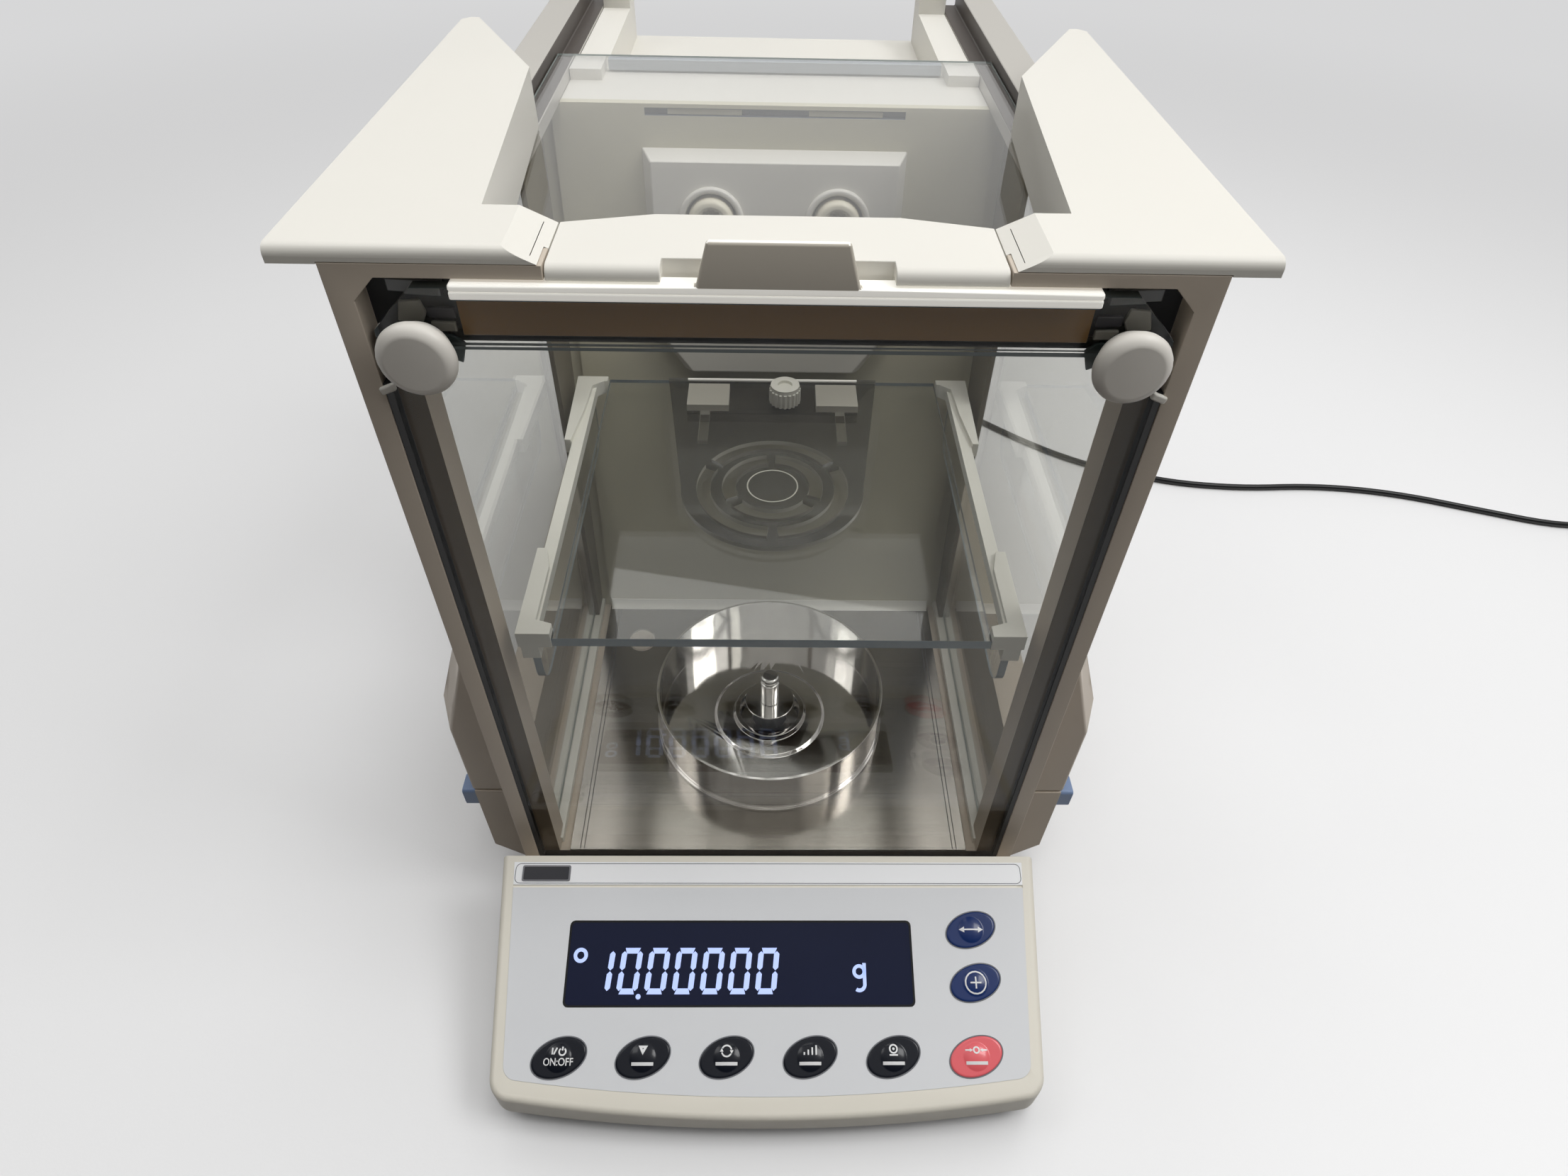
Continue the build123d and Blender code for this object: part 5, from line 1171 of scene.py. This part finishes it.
# a sign's lines and fills moved to their key, just above its dome
def makeKeySigns(facts):
    for node, (u, w, long, short, look) in keyPlans.items():
        rise = lambda x, y: keyFacts["proud"] + keyDome(x - u, w - y) + facts["lift"]
        drawn, fills = keySigns[node]
        bands = [bandOf(np.asarray(line) + (u, w), facts["lineHalf"]) for line in drawn]
        if node in barKeys:
            bands.append(bandOf(np.asarray(signBar) + (u, w), facts["barHalf"]))
        if bands:
            flatBands(node + "_sign", bands, rise, facts["lineDepth"], "mark", node, "panel")
        if fills:
            outlines = [np.asarray(outline) + (u, w) for outline in fills]
            flatShapes(node + "_fill", outlines, rise, facts["fillDepth"], "mark", node, "panel")


switchWord = {
    "text": "ON:OFF",
    "node": "key_power",
    "down": 1.6,
    "size": 3.9,
    "narrow": 0.86,
    "bolder": 0.045,
    "thick": 0.03,
    "lift": 0.06,
}


# the switch positions in the built-in font: flat letters laid over the key's dome
def makeSwitchWord(facts):
    data = bpy.data.curves.new("switchWord", "FONT")
    data.body = facts["text"]
    data.align_x, data.align_y = "CENTER", "CENTER"
    data.size = facts["size"]
    data.extrude = facts["thick"]
    data.offset = facts["bolder"]
    text = bpy.data.objects.new("switchWord", data)
    bpy.context.scene.collection.objects.link(text)
    bpy.context.view_layer.update()
    mesh = bpy.data.meshes.new_from_object(text)
    bpy.data.objects.remove(text)
    at = threes(mesh.vertices, "co")
    keyU, keyW = keyPlans[facts["node"]][:2]
    u, w = keyU + at[:, 0] * facts["narrow"], keyW + facts["down"] - at[:, 1]
    level = keyFacts["proud"] + keyDome(u - keyU, keyW - w) + facts["lift"] + at[:, 2]
    mesh.vertices.foreach_set("co", onSlope(u, w, level).ravel())
    mesh.update()
    addPiece("powerKey_word", mesh, "mark", facts["node"], (), 20.0)


makePanelPrint(panelPrint)
makeKeySigns(signs)
makeSwitchWord(switchWord)
print("stage: console")

stageFacts = {  # the pale floor and the room: metres, tones, and how bright the room is on each side
    "floorHalf": 6,
    "floorUnder": 0.0001,
    "floorColour": (0.86, 0.86, 0.865),
    "floorBounce": (0.08, 0.066, 0.052),
    "floorRoughness": 0.55,
    "floorGrain": {"Scale": 900.0, "Detail": 2.0},
    "floorBump": {"Strength": 0.2, "Distance": 0.0002},
    "farTone": (0.68, 0.68, 0.685),
    "farStart": 0.55,
    "farEnd": 1.8,
    "worldTint": (1.0, 0.995, 0.985),
    "worldRange": (-0.15, 1.0),
    "worldTop": 0.60,
    "worldFront": 0.015,
    "worldRight": 0.32,
    "worldBack": 1.25,
    "worldSeen": 0.68,
}


# the floor shows pale and throws less light back on the object, and far from the object it turns
# into a plain pale backdrop for every ray that shows it
def makeFloor(facts):
    mesh = bpy.data.meshes.new("paleFloor")
    half, level = facts["floorHalf"], -facts["floorUnder"]
    corners = [(-half, -half, level), (half, -half, level), (half, half, level), (-half, half, level)]
    mesh.from_pydata(corners, [], [[0, 1, 2, 3]])
    material, tree, shader = newMaterial("paleFloor", {"Roughness": facts["floorRoughness"]})
    at = addNode(tree, "TexCoord")
    noise = addNode(tree, "TexNoise", None, facts["floorGrain"])
    bump = addNode(tree, "Bump", None, facts["floorBump"])
    path = addNode(tree, "LightPath")
    tones = {"A": (*facts["floorColour"], 1), "B": (*facts["floorBounce"], 1)}
    tone = addNode(tree, "Mix", {"data_type": "RGBA"}, tones)
    away = addNode(tree, "VectorMath", {"operation": "LENGTH"})
    ends = {"From Min": facts["farStart"], "From Max": facts["farEnd"]}
    far = addNode(tree, "MapRange", {"interpolation_type": "SMOOTHSTEP"}, ends)
    plain = addNode(tree, "Emission", None, {"Color": (*facts["farTone"], 1)})
    hidden = mathNode(tree, "SUBTRACT", {0: 1.0})
    share = mathNode(tree, "MULTIPLY")
    mix = addNode(tree, "MixShader")
    linkAll(tree, [
        (at, "Object", noise, "Vector"),
        (noise, "Fac", bump, "Height"),
        (bump, "Normal", shader, "Normal"),
        (path, "Is Diffuse Ray", tone, "Factor"),
        (tone, "Result", shader, "Base Color"),
        (at, "Object", away, 0),
        (away, "Value", far, "Value"),
        (path, "Is Diffuse Ray", hidden, 1),
        (far, "Result", share, 0),
        (hidden, 0, share, 1),
        (share, 0, mix, 0),
        (shader, 0, mix, 1),
        (plain, 0, mix, 2),
        (mix, 0, tree.nodes["Material Output"], "Surface"),
    ])
    mesh.materials.append(material)
    floor = bpy.data.objects.new("paleFloor", mesh)
    bpy.context.scene.collection.objects.link(floor)


# the room's light grows with height, to the back and to the right; seen directly or through glass,
# the room is a plain pale tone
def makeWorld(facts):
    world = bpy.data.worlds.new("softRoom")
    bpy.context.scene.world = world
    world.use_nodes = True
    tree = world.node_tree
    back = setInputs(tree.nodes["Background"], {"Color": (*facts["worldTint"], 1)})
    at = addNode(tree, "TexCoord")
    split = addNode(tree, "SeparateXYZ")
    tilt = mathNode(tree, "MULTIPLY_ADD", {1: facts["worldBack"]})
    lean = mathNode(tree, "MULTIPLY_ADD", {1: facts["worldRight"]})
    low, high = facts["worldRange"]
    ends = {"From Min": low, "From Max": high, "To Min": facts["worldFront"], "To Max": facts["worldTop"]}
    ramp = addNode(tree, "MapRange", None, ends)
    path = addNode(tree, "LightPath")
    seen = mathNode(tree, "MAXIMUM")
    plain = mathNode(tree, "MULTIPLY", {1: facts["worldSeen"]})
    level = mathNode(tree, "MAXIMUM")
    linkAll(tree, [
        (at, "Generated", split, 0),
        (split, "Y", tilt, 0),
        (split, "Z", tilt, 2),
        (split, "X", lean, 0),
        (tilt, 0, lean, 2),
        (lean, 0, ramp, "Value"),
        (path, "Is Camera Ray", seen, 0),
        (path, "Is Transmission Ray", seen, 1),
        (seen, 0, plain, 0),
        (plain, 0, level, 0),
        (ramp, "Result", level, 1),
        (level, 0, back, "Strength"),
    ])


lamps = {  # place, aim, size, power, seen in reflections
    "ceilingTop": ((0.1, -0.27, 1.7), (0, -0.2, 0.1), (0.9, 0.4), 6.3, False),
    "frontRight": ((0.55, -0.52, 0.78), (0, -0.13, 0.1), (0.35, 0.35), 0.75, False),
    "ceilingBack": ((0.15, 0.75, 1.6), (0, 0, 0.1), (1.6, 0.8), 5.5, False),
    "ceilingRight": ((0.95, -0.22, 1.5), (0, 0, 0.1), (0.6, 0.6), 7.5, True),
    "ceilingLeft": ((-0.95, 0.05, 1.5), (0, 0, 0.1), (0.6, 0.6), 2.5, True),
}


# a soft rectangular lamp turned towards a point
def makeLamp(name, at, towards, size, power, glossy):
    data = bpy.data.lights.new(name, "AREA")
    data.shape = "RECTANGLE"
    data.size, data.size_y = size
    data.energy = power
    lamp = bpy.data.objects.new(name, data)
    lamp.location = at
    aim = Vector(towards) - Vector(at)
    lamp.rotation_euler = aim.to_track_quat("-Z", "Y").to_euler()
    lamp.visible_glossy = glossy
    bpy.context.scene.collection.objects.link(lamp)


makeFloor(stageFacts)
makeWorld(stageFacts)
for name, values in lamps.items():
    makeLamp(name, *values)
print("stage: floor and lamps")

bpy.context.view_layer.update()
